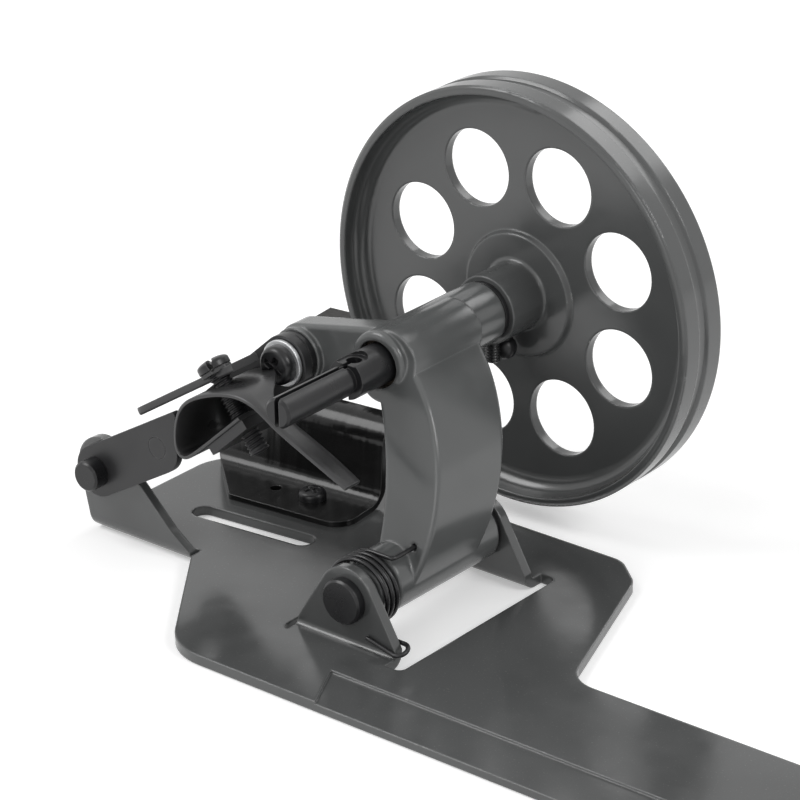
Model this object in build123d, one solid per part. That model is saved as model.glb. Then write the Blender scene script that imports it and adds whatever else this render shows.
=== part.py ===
from build123d import *
from math import cos, dist, hypot, pi, radians, sin, tan
import os

# Bobbin winder.  Millimetres.  X runs along the base arm, +Y along the spindle from its nose to the
# wheel, Z up.  The origin lies on the underside, straight below the free end of the spindle.

# clearances
RUN = 0.05            # radial clearance of a turning fit
SEAT = 0.02           # radial clearance of a fixed pin or screw
FACE = 0.1            # axial clearance between faces that slide

# base plate
SHEET = 2.0           # thickness of the base
BEND = 1.0            # inside radius where an ear is bent up
ARM_END = 122.0       # right end of the base
ARM_REAR = 18.3       # rear edge of the long arm
FRONT_EDGE = -16.2
REAR_EDGE = 62.3
LEFT_EDGE = -63.0
STEP_Y = -5.5         # the front strip is pressed a little lower than this line
STEP_DROP = 0.5
WINDOW_X = (-2.5, 26.6)                    # the ears are bent up out of the window
RELIEF = 2.0                               # the window runs on beside the ears, past their bends
SLOT_AT = (-35.3, 30.2)
SLOT_LENGTH = 29.0
SLOT_WIDTH = 5.0
SLOT_TURN = 6.0
HOLE_AT = (106.0, 0.0)
HOLE_R = 2.25

# swing arm pivot
PIVOT = (11.3, 10.8)                       # x, z
PIN_R = 2.5
PIN_HEAD_R = 4.5
PIN_HEAD = 2.0
EAR_TOP_R = 6.5
EAR_FOOT = (-1.0, 22.8)                    # x of the ear's two feet
FRONT_EAR_Y = 4.8                          # front face
REAR_EAR_Y = 43.4
CLIP = 0.7
CLIP_R = 4.6

# swing arm casting
SPINDLE_Z = 47.0
BOSS_R = 6.3
BOSS_Y = (28.2, 59.5)
PIVOT_BOSS_R = 6.3
PIVOT_BOSS_Y = (13.0, 42.4)
NOSE_BOSS_R = 5.0                           # the boss steps down inside the return spring
NOSE_BOSS_Y = 7.1
CROWN = (1.7, 46.9, 6.7)                    # the arm's head round the spindle boss: x, z, radius
ARM_BULGE = (18.9, 28.5)                    # outer edge of the curved arm, half way down
ARM_HOLLOW = (6.2, 27.5)                    # inner edge
ARM_LEAN = 0.36                             # the arm runs forward by this much for each step down
ARM_TOP_Z = 49.0
ARM_FRONT_Y = 29.9                          # faces of the arm at that height
ARM_THICK = 19.8
CAST_EDGE = 0.8
LEVER_END = (-21.3, 42.6)                  # x, z of the link screw
LEVER_R = 6.0
LEVER_Y = (30.8, 35.8)
LEVER_BOSS_Y = (29.5, 36.5)

# spindle and bushes
NOSE_R = 3.0
NOSE_END = 18.0
NECK_R = 2.6
SHOULDER_Y = 19.3
SHAFT_R = 4.0
JOURNAL_R = 3.5
JOURNAL_Y = 29.8
SPINDLE_END = 76.0
SLIT = 1.0
SLIT_HOLE_R = 1.5
SLIT_HOLE_Y = 21.8
POCKET = (17.0, 24.5)
BUSH_R = 4.7
BUSH_LENGTH = 9.0

# drive wheel
WHEEL_R = 43.0
RIM_Y = (67.0, 78.7)
LIP = 1.7
COVE = 3.2
WEB_Y = 71.3
WEB = 2.2
GROOVE_DEPTH = 0.8
RIM_FLAT = 2.2                              # beside the belt's groove
HUB_R = 7.0
HUB_Y = 60.6
COLLAR_R = 12.5
COLLAR = 1.0
HOLE_COUNT = 8
WHEEL_HOLE_R = 7.9
WHEEL_HOLE_PITCH = 26.0
WHEEL_HOLE_PHASE = 23.3
SET_SCREW_Y = 62.7
SET_SCREW_R = 1.5
SET_SCREW_OUT = 4.4
DOME_SCREW_Y = 66.6
DOME_R = 2.4

# return spring
SPRING_WIRE_R = 0.45
SPRING_R = 6.7
SPRING_PITCH = 1.42
SPRING_TURNS = 3
SPRING_Y = 7.5
SPRING_FOOT = 11.6                          # from the coil to the hook round the front ear
SPRING_HOOK_R = 1.6
SPRING_CATCH = 6.6                          # length of the hook in front of the ear
SPRING_LEG = 4.0
SPRING_END_R = 0.9
SPRING_END = 1.5                            # how deep it sits in the arm
SPRING_HOLE_R = 0.7

# latch linkage
STUD = (-59.0, 14.2)
KNEE = (-42.0, 24.15)
LINK_HALF = 5.3
LINK_SHEET = 1.6
LOWER_LINK_Y = 11.2
LATCH_EAR_Y = 13.0
LATCH_EAR_FOOT = (-62.8, -36.6)
LATCH_EAR_R = 6.6
LATCH_EAR_FLARE = (-41.3, 5.6)
STUD_R = 2.4
STUD_HEAD_R = 3.1
STUD_HEAD_Y = 7.8
STUD_RIVET = 1.0
KNEE_R = 2.2
SLEEVE_R = 3.2
UPPER_SHEET = 2.0
UPPER_LINK_Y = 26.0
OPEN_PIVOT_R = 3.6                          # clearance hole round the link screw
SCREW_R = 2.0
SCREW_HEAD_R = 4.0
SCREW_HEAD = 2.6
WASHER_R = 4.65
WASHER = 0.8
SPACER_R = 5.2

# feeler and its adjustment
STRIP_Y = (9.0, 24.0)
FINGER_BACK = 14.0
STRIP = 0.8
FLANGE_DROP = 6.2                           # from the line of the upper link to its flange
FLANGE = (15.0, 27.0)                       # along the upper link, from the knee
LOOP_X = -35.6
TOP_TURN = 37.0
TOP_AT = (-27.3, 40.6)                      # where the adjusting screw passes the top leaf
FINGER_TURN = -23.4
FINGER_AT = (-10.0, 38.5)
FINGER_END = 8.0
ADJUST_Y = 15.0
ADJUST_R = 2.0
ADJUST_TIP = 15.5
THUMB_Y = (13.5, 22.5)
THUMB = (-26.0, 4.0)                        # along the leaf, from the adjusting screw
THUMB_SHEET = 1.4
NUT_ACROSS = 5.6
NUT = 1.5
ADJUST_HEAD_R = 2.6
ADJUST_HEAD = 1.7

# brake
BRAKE_AT = (-32.5, 45.0)                    # the bracket's screw
BRAKE_TURN = 6.0
BRAKE_SHEET = 1.2
BRAKE_FOOT = (-15.5, 12.5)
BRAKE_WALL = (-28.0, 13.0)
BRAKE_FRONT = -7.3
BRAKE_WALL_AT = 5.8
BRAKE_HEIGHT = 17.5
BRAKE_BEND = 3.5
BRAKE_ROLL = 4.6
BRAKE_DEPTH = 13.0
TONGUE = (-18.5, -8.5)
TONGUE_END = 34.0
BRAKE_SCREW_R = 1.5
BRAKE_HEAD_R = 2.8
BRAKE_HEAD = 2.0
SPARE_HOLE_AT = -9.0
SPARE_HOLE_R = 1.2
PAD_HEIGHT = 9.0
PAD_FRONT = 23.0
RELEASE = 5.5                               # swing of the arm, in degrees
PAD_GAP = 0.3

# thread tension at the end of the arm
POST_EAR_Y = (-3.0, 16.0)
POST_EAR_Z = 31.0
POST_AT = (6.5, 17.0)                       # y, z
POST_R = 2.0
POST_LENGTH = 19.0
POST_HEAD_R = 3.6
POST_HEAD = 2.4
DISC_R = 8.0
DISC_SHEET = 0.6
DISC_DISH = 1.4
COIL_R = 3.6
COIL_WIRE_R = 0.4
COIL_TURNS = 4
COIL_LENGTH = 8.0
KNOB_R = 5.0
KNOB = 4.5
KNOB_FLUTES = 16
EYE_AT = (6.5, 28.0)
EYE_R = 1.2
EYE_WALL = 0.6


# ---------------------------------------------------------------- helpers

def along_y(face, y0, y1):
    """Extrude a face drawn in x and z from y0 to y1."""
    return extrude(Plane.XZ.offset(-y1) * face, amount=y1 - y0)


def along_x(face, x0, x1):
    """Extrude a face drawn in y and z from x0 to x1."""
    return extrude(Plane.YZ.offset(x0) * face, amount=x1 - x0)


def rod(at, radius, y0, y1):
    """A cylinder along Y through at, an (x, z) pair."""
    return Pos(at[0], (y0 + y1) / 2, at[1]) * Rot(90, 0, 0) * Cylinder(radius, y1 - y0)


def rod_x(at, radius, x0, x1):
    """A cylinder along X through at, a (y, z) pair."""
    return Pos((x0 + x1) / 2, at[0], at[1]) * Rot(0, 90, 0) * Cylinder(radius, x1 - x0)


def disc(at, radius):
    return Pos(at[0], at[1]) * Circle(radius)


def unit(start, end):
    length = hypot(end[0] - start[0], end[1] - start[1])
    return ((end[0] - start[0]) / length, (end[1] - start[1]) / length)


def corner_edges(corners, closed):
    """Lines and tangent arcs through corners given as (x, y, radius)."""
    count = len(corners)
    marks = []
    for i, (x, y, radius) in enumerate(corners):
        if radius == 0 or (not closed and i in (0, count - 1)):
            marks.append([(x, y)])
            continue
        before = unit((x, y), corners[i - 1][:2])
        after = unit((x, y), corners[(i + 1) % count][:2])
        half = Vector(*before).get_angle(Vector(*after)) / 2
        reach = radius / tan(radians(half))
        middle = unit((0, 0), (before[0] + after[0], before[1] + after[1]))
        depth = radius / sin(radians(half)) - radius
        marks.append([(x + before[0] * reach, y + before[1] * reach),
                      (x + middle[0] * depth, y + middle[1] * depth),
                      (x + after[0] * reach, y + after[1] * reach)])
    edges = []
    for i, mark in enumerate(marks):
        if len(mark) == 3:
            edges.append(ThreePointArc(*mark))
        if closed or i < count - 1:
            edges.append(Line(mark[-1], marks[(i + 1) % count][0]))
    return edges


def rounded(corners):
    """A face whose corners are (x, y, radius)."""
    return make_face(corner_edges(corners, True))


def band(corners, thickness):
    """A strip of the given thickness along an open path of corners (x, y, radius)."""
    sides = ([], [])
    count = len(corners)
    for i, (x, y, radius) in enumerate(corners):
        into = unit(corners[max(i, 1) - 1][:2], corners[max(i, 1)][:2])
        out = unit(corners[min(i, count - 2)][:2], corners[min(i, count - 2) + 1][:2])
        turn = into[0] * out[1] - into[1] * out[0]
        scale = thickness / 2 / (1 + into[0] * out[0] + into[1] * out[1])
        mitre = (-(into[1] + out[1]) * scale, (into[0] + out[0]) * scale)
        inner = max(radius - thickness / 2, 0)
        outer = radius + thickness / 2 if radius else 0
        left, right = (inner, outer) if turn > 0 else (outer, inner)
        sides[0].append((x + mitre[0], y + mitre[1], left))
        sides[1].append((x - mitre[0], y - mitre[1], right))
    return rounded(sides[0] + sides[1][::-1])


def hull(*faces):
    """The outline that a band stretched round the faces would take."""
    return make_hull([edge for face in faces for edge in face.edges()])


def biarc(p0, t0, p1, t1):
    """Two tangent arcs from p0 to p1 that leave along t0 and arrive along t1."""
    chord = p1 - p0
    spread = 2 * (t0.dot(t1) - 1)
    pull = chord.dot(t0 + t1)
    if abs(spread) < 1e-9:
        reach = chord.dot(chord) / (2 * pull)
    else:
        reach = (pull - (pull * pull - spread * chord.dot(chord)) ** 0.5) / spread
    mid_tangent = (p1 - t1 * reach - p0 - t0 * reach).normalized()
    joint = (p0 + t0 * reach + p1 - t1 * reach) * 0.5
    return [TangentArc(p0, joint, tangent=t0), TangentArc(joint, p1, tangent=mid_tangent)]


def wire_path(stations):
    """Biarcs, or lines, through stations given as (point, tangent)."""
    edges = []
    for (p0, t0), (p1, t1) in zip(stations, stations[1:]):
        straight = (p1 - p0).normalized()
        if straight.dot(t0) > 1 - 1e-9 and straight.dot(t1) > 1 - 1e-9:
            edges.append(Line(p0, p1))
        else:
            edges += biarc(p0, t0, p1, t1)
    return Wire(edges)


def least_gap(path, radius):
    """The least free space between two stretches of a wire, measured on points along it."""
    count = round(path.length / radius)
    points = [tuple(path.position_at(i / count)) for i in range(count + 1)]
    apart = 6
    pairs = [(i, j) for i in range(count) for j in range(i + apart, count + 1)]
    return min(dist(points[i], points[j]) for i, j in pairs) - 2 * radius


def bent_wire(name, stations, radius):
    start, heading = stations[0]
    path = wire_path(stations)
    print(f"{name}: least gap between its turns {least_gap(path, radius):.2f} mm")
    return sweep(Plane(origin=start, z_dir=heading) * Circle(radius), path=path)


def one(shape):
    """The single solid of a result."""
    solids = shape.solids()
    assert len(solids) == 1, len(solids)
    return solids[0]


# ---------------------------------------------------------------- base

def plate_outline():
    return rounded([
        (LATCH_EAR_FOOT[1] + 0.6, LATCH_EAR_Y + BEND + SHEET, 0),
        (LATCH_EAR_FOOT[1] + 0.6, LATCH_EAR_Y, 0.8),
        (-13.9, FRONT_EDGE, 13.0),
        (ARM_END, FRONT_EDGE, 14.0),
        (ARM_END, ARM_REAR, 5.0),
        (53.0, ARM_REAR, 7.0),
        (39.0, 56.5, 5.0),
        (32.0, REAR_EDGE, 6.0),
        (LEFT_EDGE + 8.0, REAR_EDGE, 8.0),
        (LEFT_EDGE, 46.0, 9.0),
        (LEFT_EDGE, LATCH_EAR_Y + BEND + SHEET, 0),
    ])


def ear_profile(face_y, away):
    """Side view of an ear and its bend; away is +1 where the sheet comes from behind it."""
    inner = face_y + SHEET if away > 0 else face_y
    outer = face_y if away > 0 else face_y + SHEET
    foot = inner + away * (BEND + RELIEF + 0.1)
    top = SPINDLE_Z / 2
    return rounded([(foot, 0, 0), (outer, 0, BEND + SHEET), (outer, top, 0),
                    (inner, top, 0), (inner, SHEET, BEND), (foot, SHEET, 0)])


def pivot_ear(face_y, away):
    x0, x1 = EAR_FOOT
    outline = hull(disc(PIVOT, EAR_TOP_R), Pos((x0 + x1) / 2, 1.7) * Rectangle(x1 - x0, 3.4))
    blank = along_x(ear_profile(face_y, away), x0, x1)
    return blank & along_y(outline, face_y - 6, face_y + SHEET + 6)


def latch_ear():
    x0, x1 = LATCH_EAR_FOOT
    foot = Pos((x0 + STUD[0]) / 2 + 2, 1.2) * Rectangle(STUD[0] - x0 + 4, 2.4)
    outline = hull(disc(STUD, LATCH_EAR_R), foot)
    shoulder = (STUD[0] + LATCH_EAR_R * sin(radians(60)), STUD[1] + LATCH_EAR_R * cos(radians(60)))
    outline += rounded([
        (STUD[0], 0, 0), (x1, 0, 0), (x1, SHEET + 0.3, 0),
        (LATCH_EAR_FLARE[0], LATCH_EAR_FLARE[1], 9.0),
        (shoulder[0], shoulder[1], 0), (STUD[0], STUD[1], 0)])
    blank = along_x(ear_profile(LATCH_EAR_Y, 1), x0 - 4, x1)
    return blank & along_y(outline, LATCH_EAR_Y - 1, LATCH_EAR_Y + 8)


def post_ear():
    """The end of the arm turned up to carry the thread tension."""
    y0, y1 = POST_EAR_Y
    side = rounded([(ARM_END - BEND - SHEET - 0.6, 0, 0), (ARM_END, 0, BEND + SHEET),
                    (ARM_END, POST_EAR_Z, 0), (ARM_END - SHEET, POST_EAR_Z, 0),
                    (ARM_END - SHEET, SHEET, BEND), (ARM_END - BEND - SHEET - 0.6, SHEET, 0)])
    front = rounded([(y0, -1, 0), (y1, -1, 0), (y1, POST_EAR_Z, 6), (y0, POST_EAR_Z, 6)])
    ear = along_y(side, y0, y1) & along_x(front, ARM_END - 8, ARM_END + 1)
    ear -= rod_x(POST_AT, POST_R + SEAT, ARM_END - 4, ARM_END + 1)
    return ear - rod_x(EYE_AT, EYE_R + EYE_WALL + SEAT, ARM_END - 4, ARM_END + 1)


def brake_frame():
    return Pos(BRAKE_AT[0], BRAKE_AT[1], SHEET) * Rot(0, 0, BRAKE_TURN)


def base_plate():
    plate = extrude(plate_outline(), amount=SHEET)
    x0, x1 = WINDOW_X
    y0 = FRONT_EAR_Y - BEND - RELIEF
    y1 = REAR_EAR_Y + SHEET + BEND + RELIEF
    window = rounded([(x0, y0, 1.6), (x1, y0, 1.6), (x1, y1, 1.6), (x0, y1, 1.6)])
    plate -= extrude(Pos(0, 0, -1) * window, amount=SHEET + 2)
    plate -= Pos((ARM_END + 2), (FRONT_EDGE + POST_EAR_Y[0]) / 2 - 0.5, SHEET / 2) * Box(
        2 * (BEND + SHEET + 2.6), POST_EAR_Y[0] - FRONT_EDGE + 1, SHEET + 2)
    plate -= Pos(ARM_END, ARM_REAR, SHEET / 2) * Box(
        2 * (BEND + SHEET + 0.6), 2 * (ARM_REAR - POST_EAR_Y[1]), SHEET + 2)
    plate -= Pos(ARM_END, (POST_EAR_Y[0] + POST_EAR_Y[1]) / 2, SHEET / 2) * Box(
        2 * (BEND + SHEET), POST_EAR_Y[1] - POST_EAR_Y[0], SHEET + 2)
    step = rounded([(16, STEP_Y, 0), (22, FRONT_EDGE - 1, 0), (ARM_END + 1, FRONT_EDGE - 1, 0),
                    (ARM_END + 1, STEP_Y, 0)])
    plate -= extrude(Pos(0, 0, SHEET - STEP_DROP) * step, amount=2)
    plate += pivot_ear(FRONT_EAR_Y, -1) + pivot_ear(REAR_EAR_Y, 1) + latch_ear() + post_ear()
    plate -= rod(PIVOT, PIN_R + SEAT, FRONT_EAR_Y - 1, REAR_EAR_Y + SHEET + 1)
    plate -= rod(STUD, STUD_R + SEAT, LATCH_EAR_Y - 1, LATCH_EAR_Y + SHEET + 1)
    slot = Rot(0, 0, SLOT_TURN) * SlotOverall(SLOT_LENGTH, SLOT_WIDTH)
    plate -= extrude(Pos(SLOT_AT[0], SLOT_AT[1], -1) * slot, amount=SHEET + 2)
    plate -= Pos(HOLE_AT[0], HOLE_AT[1], SHEET / 2) * Cylinder(HOLE_R, SHEET + 2)
    plate -= Pos(BRAKE_AT[0], BRAKE_AT[1], SHEET / 2) * Cylinder(BRAKE_SCREW_R + SEAT, SHEET + 2)
    return plate


def pivot_pin():
    end = REAR_EAR_Y + SHEET + 2.0
    pin = rod(PIVOT, PIN_R, FRONT_EAR_Y, end)
    pin += rod(PIVOT, PIN_HEAD_R, FRONT_EAR_Y - PIN_HEAD, FRONT_EAR_Y)
    pin = chamfer(pin.edges().group_by(Axis.Y)[0], 0.4)
    groove = rod(PIVOT, PIN_R + 1, end - 2.0 + 0.1, end - 2.0 + 0.1 + CLIP + 0.1)
    return pin - (groove - rod(PIVOT, PIN_R - 0.4, end - 3, end))


def pivot_clip():
    y0 = REAR_EAR_Y + SHEET + 0.15
    ring = Circle(CLIP_R) - Circle(PIN_R - 0.4 + SEAT)
    ring -= Pos(0, -CLIP_R) * Rectangle(2 * (PIN_R - 0.8), 2 * CLIP_R)
    return along_y(Pos(*PIVOT) * ring, y0, y0 + CLIP)


def pivot_washer():
    ring = Circle(PIVOT_BOSS_R - 0.6) - Circle(PIN_R + SEAT)
    return along_y(Pos(*PIVOT) * ring, PIVOT_BOSS_Y[1] + FACE, REAR_EAR_Y - FACE)


# ---------------------------------------------------------------- swing arm

def arm_front(z):
    """Where the arm's leaning front face lies at a height."""
    return ARM_FRONT_Y - ARM_LEAN * (ARM_TOP_Z - z)


def spring_corner():
    """The outer corner of the bend in the spring's upper leg."""
    turns = SPRING_TURNS + 0.5
    return Vector(PIVOT[0] + SPRING_LEG + SPRING_END_R, SPRING_Y + SPRING_PITCH * turns, PIVOT[1] + SPRING_R)


def arm_web():
    """The curved arm as seen along the spindle, with its head and its foot."""
    outer_top = (CROWN[0] + CROWN[2] * 0.8, CROWN[1] + 1.0)
    outer_foot = (PIVOT[0] + PIVOT_BOSS_R, PIVOT[1])
    inner_foot = (PIVOT[0] - PIVOT_BOSS_R * 0.55, PIVOT[1] + PIVOT_BOSS_R * 0.75)
    inner_top = (CROWN[0] - 1.5, CROWN[1] - CROWN[2] * 0.7)
    outer = ThreePointArc(outer_top, ARM_BULGE, outer_foot)
    inner = ThreePointArc(inner_foot, ARM_HOLLOW, inner_top)
    web = make_face([outer, Line(outer_foot, PIVOT), Line(PIVOT, inner_foot), inner,
                     Line(inner_top, CROWN[:2]), Line(CROWN[:2], outer_top)])
    return web + disc(CROWN[:2], CROWN[2])


def arm_side():
    """The arm leans forward as it comes down, as seen from the right."""
    top = ARM_TOP_Z + 12
    front, foot = arm_front(ARM_TOP_Z), arm_front(PIVOT[1])
    rear, heel = front + ARM_THICK, foot + ARM_THICK
    return rounded([(front, top, 0), (front, ARM_TOP_Z, 5), (foot, PIVOT[1], 0),
                    (heel, PIVOT[1], 0), (rear, ARM_TOP_Z, 5), (rear, top, 0)])


def swing_arm():
    at = (0, SPINDLE_Z)
    arm = along_y(arm_web(), PIVOT_BOSS_Y[0], BOSS_Y[1]) & along_x(arm_side(), -20, 30)
    arm = fillet(arm_edges(arm), CAST_EDGE)
    boss = rod(at, BOSS_R, *BOSS_Y)
    arm += fillet(boss.edges().filter_by(GeomType.CIRCLE), CAST_EDGE)
    foot = rod(PIVOT, PIVOT_BOSS_R, *PIVOT_BOSS_Y)
    arm += chamfer(foot.edges().filter_by(GeomType.CIRCLE), 0.4)
    arm += rod(PIVOT, NOSE_BOSS_R, NOSE_BOSS_Y, PIVOT_BOSS_Y[0])
    lever = hull(disc(at, BOSS_R - 0.2), disc(LEVER_END, LEVER_R))
    lever = along_y(lever, *LEVER_Y)
    arm += fillet(lever.faces().sort_by(Axis.Y)[0].edges(), CAST_EDGE)
    arm += rod(LEVER_END, LEVER_R - 0.4, *LEVER_BOSS_Y)
    arm -= rod(at, BUSH_R, BOSS_Y[0] - 1, BOSS_Y[1] + 1)
    arm -= rod(PIVOT, PIN_R + RUN, NOSE_BOSS_Y - 1, PIVOT_BOSS_Y[1] + 1)
    arm -= rod(LEVER_END, SCREW_R + SEAT, LEVER_BOSS_Y[0] - 1, LEVER_BOSS_Y[1] + 1)
    corner = spring_corner()
    face = arm_front(corner.Z)
    return arm - rod((corner.X, corner.Z), SPRING_HOLE_R, face - 2, face + SPRING_END + RUN)


def arm_edges(arm):
    """The long edges of the curved arm, which the mould leaves round."""
    return [edge for edge in arm.edges() if edge.length > 20]


def bush(y0):
    ring = Circle(BUSH_R) - Circle(JOURNAL_R + RUN)
    return along_y(Pos(0, SPINDLE_Z) * ring, y0, y0 + BUSH_LENGTH)


def front_bush():
    return bush(JOURNAL_Y + FACE)


def rear_bush():
    return bush(BOSS_Y[1] - 0.5 - BUSH_LENGTH)


def return_spring():
    """Torsion spring: a hook round the front ear, the turns round the boss, a leg bent into the arm."""
    quarter = 90
    steps = 4 * SPRING_TURNS + 2
    climb = SPRING_PITCH / (2 * pi * SPRING_R)
    stations = []
    for i in range(steps + 1):
        turn = radians(-quarter - quarter * i)
        point = Vector(PIVOT[0] + SPRING_R * cos(turn), SPRING_Y + SPRING_PITCH / 4 * i,
                       PIVOT[1] + SPRING_R * sin(turn))
        rise = climb if 0 < i < steps else 0
        stations.append((point, Vector(sin(turn), rise, -cos(turn)).normalized()))
    right, back = Vector(1, 0, 0), Vector(0, 1, 0)
    corner = spring_corner()
    stations.append((corner - right * SPRING_END_R, right))
    stations.append((corner + back * SPRING_END_R, back))
    stations.append((Vector(corner.X, arm_front(corner.Z) + SPRING_END, corner.Z), back))
    foot, heading = stations[0]
    back_leg = foot - heading * SPRING_FOOT
    front = FRONT_EAR_Y - SPRING_WIRE_R - FACE
    reach = (SPRING_Y - front) / 2
    catch = Vector(-1, 0, 0.24).normalized()
    apex = Vector(back_leg.X + SPRING_HOOK_R, SPRING_Y - reach, back_leg.Z - 0.4)
    turned = Vector(back_leg.X, front, back_leg.Z - 1.0)
    stations.insert(0, (back_leg, heading))
    stations.insert(0, (apex, Vector(0, 1, 0.16).normalized()))
    stations.insert(0, (turned, catch * -1))
    stations.insert(0, (turned + catch * SPRING_CATCH, catch * -1))
    return bent_wire("return_spring", stations, SPRING_WIRE_R)


# ---------------------------------------------------------------- spindle and wheel

def spindle():
    at = (0, SPINDLE_Z)
    shaft = rod(at, NOSE_R, 0, NOSE_END)
    shaft = chamfer(shaft.edges().group_by(Axis.Y)[0], 0.5)
    shaft += rod(at, NECK_R, NOSE_END, SHOULDER_Y)
    shaft += rod(at, SHAFT_R, SHOULDER_Y, JOURNAL_Y)
    shaft += rod(at, JOURNAL_R, JOURNAL_Y, SPINDLE_END)
    shaft -= Pos(0, SLIT_HOLE_Y / 2 - 1, SPINDLE_Z) * Box(SLIT, SLIT_HOLE_Y + 2, 3 * SHAFT_R)
    shaft -= Pos(0, SLIT_HOLE_Y, SPINDLE_Z) * Cylinder(SLIT_HOLE_R, 3 * SHAFT_R)
    pocket = SlotOverall(POCKET[1] - POCKET[0], 4.4)
    cut = extrude(Pos(0, 0, 0) * Rot(0, 0, 90) * pocket, amount=3)
    return shaft - Pos(0, (POCKET[0] + POCKET[1]) / 2, SPINDLE_Z + SHAFT_R - 0.9) * cut


def wheel_profile():
    """Half section of the wheel: x is the radius, y runs along the spindle."""
    front, rear = RIM_Y
    inner = WHEEL_R - LIP
    web_front, web_rear = WEB_Y, WEB_Y + WEB
    middle = (front + rear) / 2
    hub = rounded([
        (JOURNAL_R + SEAT, HUB_Y, 0), (HUB_R, HUB_Y, 0), (HUB_R, web_front - COLLAR, 0.8),
        (COLLAR_R, web_front - COLLAR, 0), (COLLAR_R + 0.6, web_front, 0),
        (inner - 0.4, web_front, COVE), (inner, front, 0), (WHEEL_R, front, 0.8),
        (WHEEL_R, front + RIM_FLAT, 0), (WHEEL_R - GROOVE_DEPTH, middle, 9.0),
        (WHEEL_R, rear - RIM_FLAT, 0),
        (WHEEL_R, rear, 0.8), (inner, rear, 0), (inner - 0.4, web_rear, COVE),
        (COLLAR_R, web_rear, 0), (COLLAR_R - 0.6, SPINDLE_END, 0), (JOURNAL_R + SEAT, SPINDLE_END, 0),
    ])
    return hub


def drive_wheel():
    section = Plane.XY * wheel_profile()
    wheel = revolve(section, Axis.Y)
    for i in range(HOLE_COUNT):
        turn = radians(WHEEL_HOLE_PHASE + 360 / HOLE_COUNT * i)
        at = (WHEEL_HOLE_PITCH * cos(turn), WHEEL_HOLE_PITCH * sin(turn))
        wheel -= rod(at, WHEEL_HOLE_R, WEB_Y - 2, WEB_Y + WEB + 2)
    wheel -= Pos(0, SET_SCREW_Y, -HUB_R / 2) * Cylinder(SET_SCREW_R + SEAT, HUB_R)
    wheel -= Pos(0, DOME_SCREW_Y, -HUB_R / 2) * Cylinder(SET_SCREW_R + SEAT, HUB_R)
    return Pos(0, 0, SPINDLE_Z) * wheel


def hub_screw(y, out):
    """A screw up into the hub from below, its shank standing out by the given length."""
    top = SPINDLE_Z - JOURNAL_R
    bottom = SPINDLE_Z - HUB_R - out
    return Pos(0, y, (top + bottom) / 2) * Cylinder(SET_SCREW_R, top - bottom)


def set_screw():
    screw = hub_screw(SET_SCREW_Y, SET_SCREW_OUT)
    return chamfer(screw.edges().group_by(Axis.Z)[0], 0.3)


def dome_screw():
    screw = hub_screw(DOME_SCREW_Y, 0.6)
    return screw + Pos(0, DOME_SCREW_Y, SPINDLE_Z - HUB_R - 0.4 - DOME_R) * Sphere(DOME_R)


def thrust_washer():
    ring = Circle(HUB_R - 1) - Circle(JOURNAL_R + SEAT)
    return along_y(Pos(0, SPINDLE_Z) * ring, BOSS_Y[1] + FACE, HUB_Y)


# ---------------------------------------------------------------- latch linkage

def latch_stud():
    rear = LATCH_EAR_Y + SHEET
    stud = rod(STUD, STUD_HEAD_R, STUD_HEAD_Y, LOWER_LINK_Y - FACE)
    stud = chamfer(stud.edges().group_by(Axis.Y)[0], 0.4)
    stud += rod(STUD, STUD_R, LOWER_LINK_Y - FACE, rear)
    rivet = rod(STUD, STUD_R + 0.9, rear, rear + STUD_RIVET)
    return stud + chamfer(rivet.edges().group_by(Axis.Y)[-1], 0.5)


def link_axes():
    """Along and across the upper link."""
    along = unit(KNEE, LEVER_END)
    return along, (-along[1], along[0])


def on_link(u, v):
    along, across = link_axes()
    return (KNEE[0] + along[0] * u + across[0] * v, KNEE[1] + along[1] * u + across[1] * v)


def lower_link():
    """A link with a round end at the stud and, past the knee, an end cut off upright."""
    along = unit(STUD, KNEE)

    def rim(at, turn):
        """A point on the round end about at, turned from the link's own direction."""
        x = at[0] + LINK_HALF * (along[0] * cos(radians(turn)) - along[1] * sin(radians(turn)))
        z = at[1] + LINK_HALF * (along[1] * cos(radians(turn)) + along[0] * sin(radians(turn)))
        return (x, z)

    side = (KNEE[0] + LINK_HALF, KNEE[1])
    top = rim(KNEE, 90)
    tip = (side[0], top[1] + (side[0] - top[0]) * along[1] / along[0])
    middle = (KNEE[0] + LINK_HALF * 0.8, KNEE[1] - LINK_HALF * 0.6)
    plate = make_face([
        ThreePointArc(rim(STUD, 90), rim(STUD, 180), rim(STUD, 270)),
        Line(rim(STUD, 270), rim(KNEE, 270)),
        ThreePointArc(rim(KNEE, 270), middle, side),
        Line(side, tip),
        Line(tip, rim(STUD, 90)),
    ])
    plate = plate - disc(STUD, STUD_R + RUN) - disc(KNEE, KNEE_R + RUN)
    link = along_y(plate, LOWER_LINK_Y, LOWER_LINK_Y + LINK_SHEET)
    return fillet(link.edges().filter_by(Axis.Y).sort_by(Axis.Z)[-1], 0.8)


def knee_pin():
    rear = UPPER_LINK_Y + UPPER_SHEET
    pin = rod(KNEE, KNEE_R, LOWER_LINK_Y, rear)
    rivet = rod(KNEE, KNEE_R + 0.8, rear, rear + 0.9)
    return pin + chamfer(rivet.edges().group_by(Axis.Y)[-1], 0.4)


def knee_sleeve():
    ring = Circle(SLEEVE_R) - Circle(KNEE_R + SEAT)
    return along_y(Pos(*KNEE) * ring, LOWER_LINK_Y + LINK_SHEET + FACE, UPPER_LINK_Y)


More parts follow.
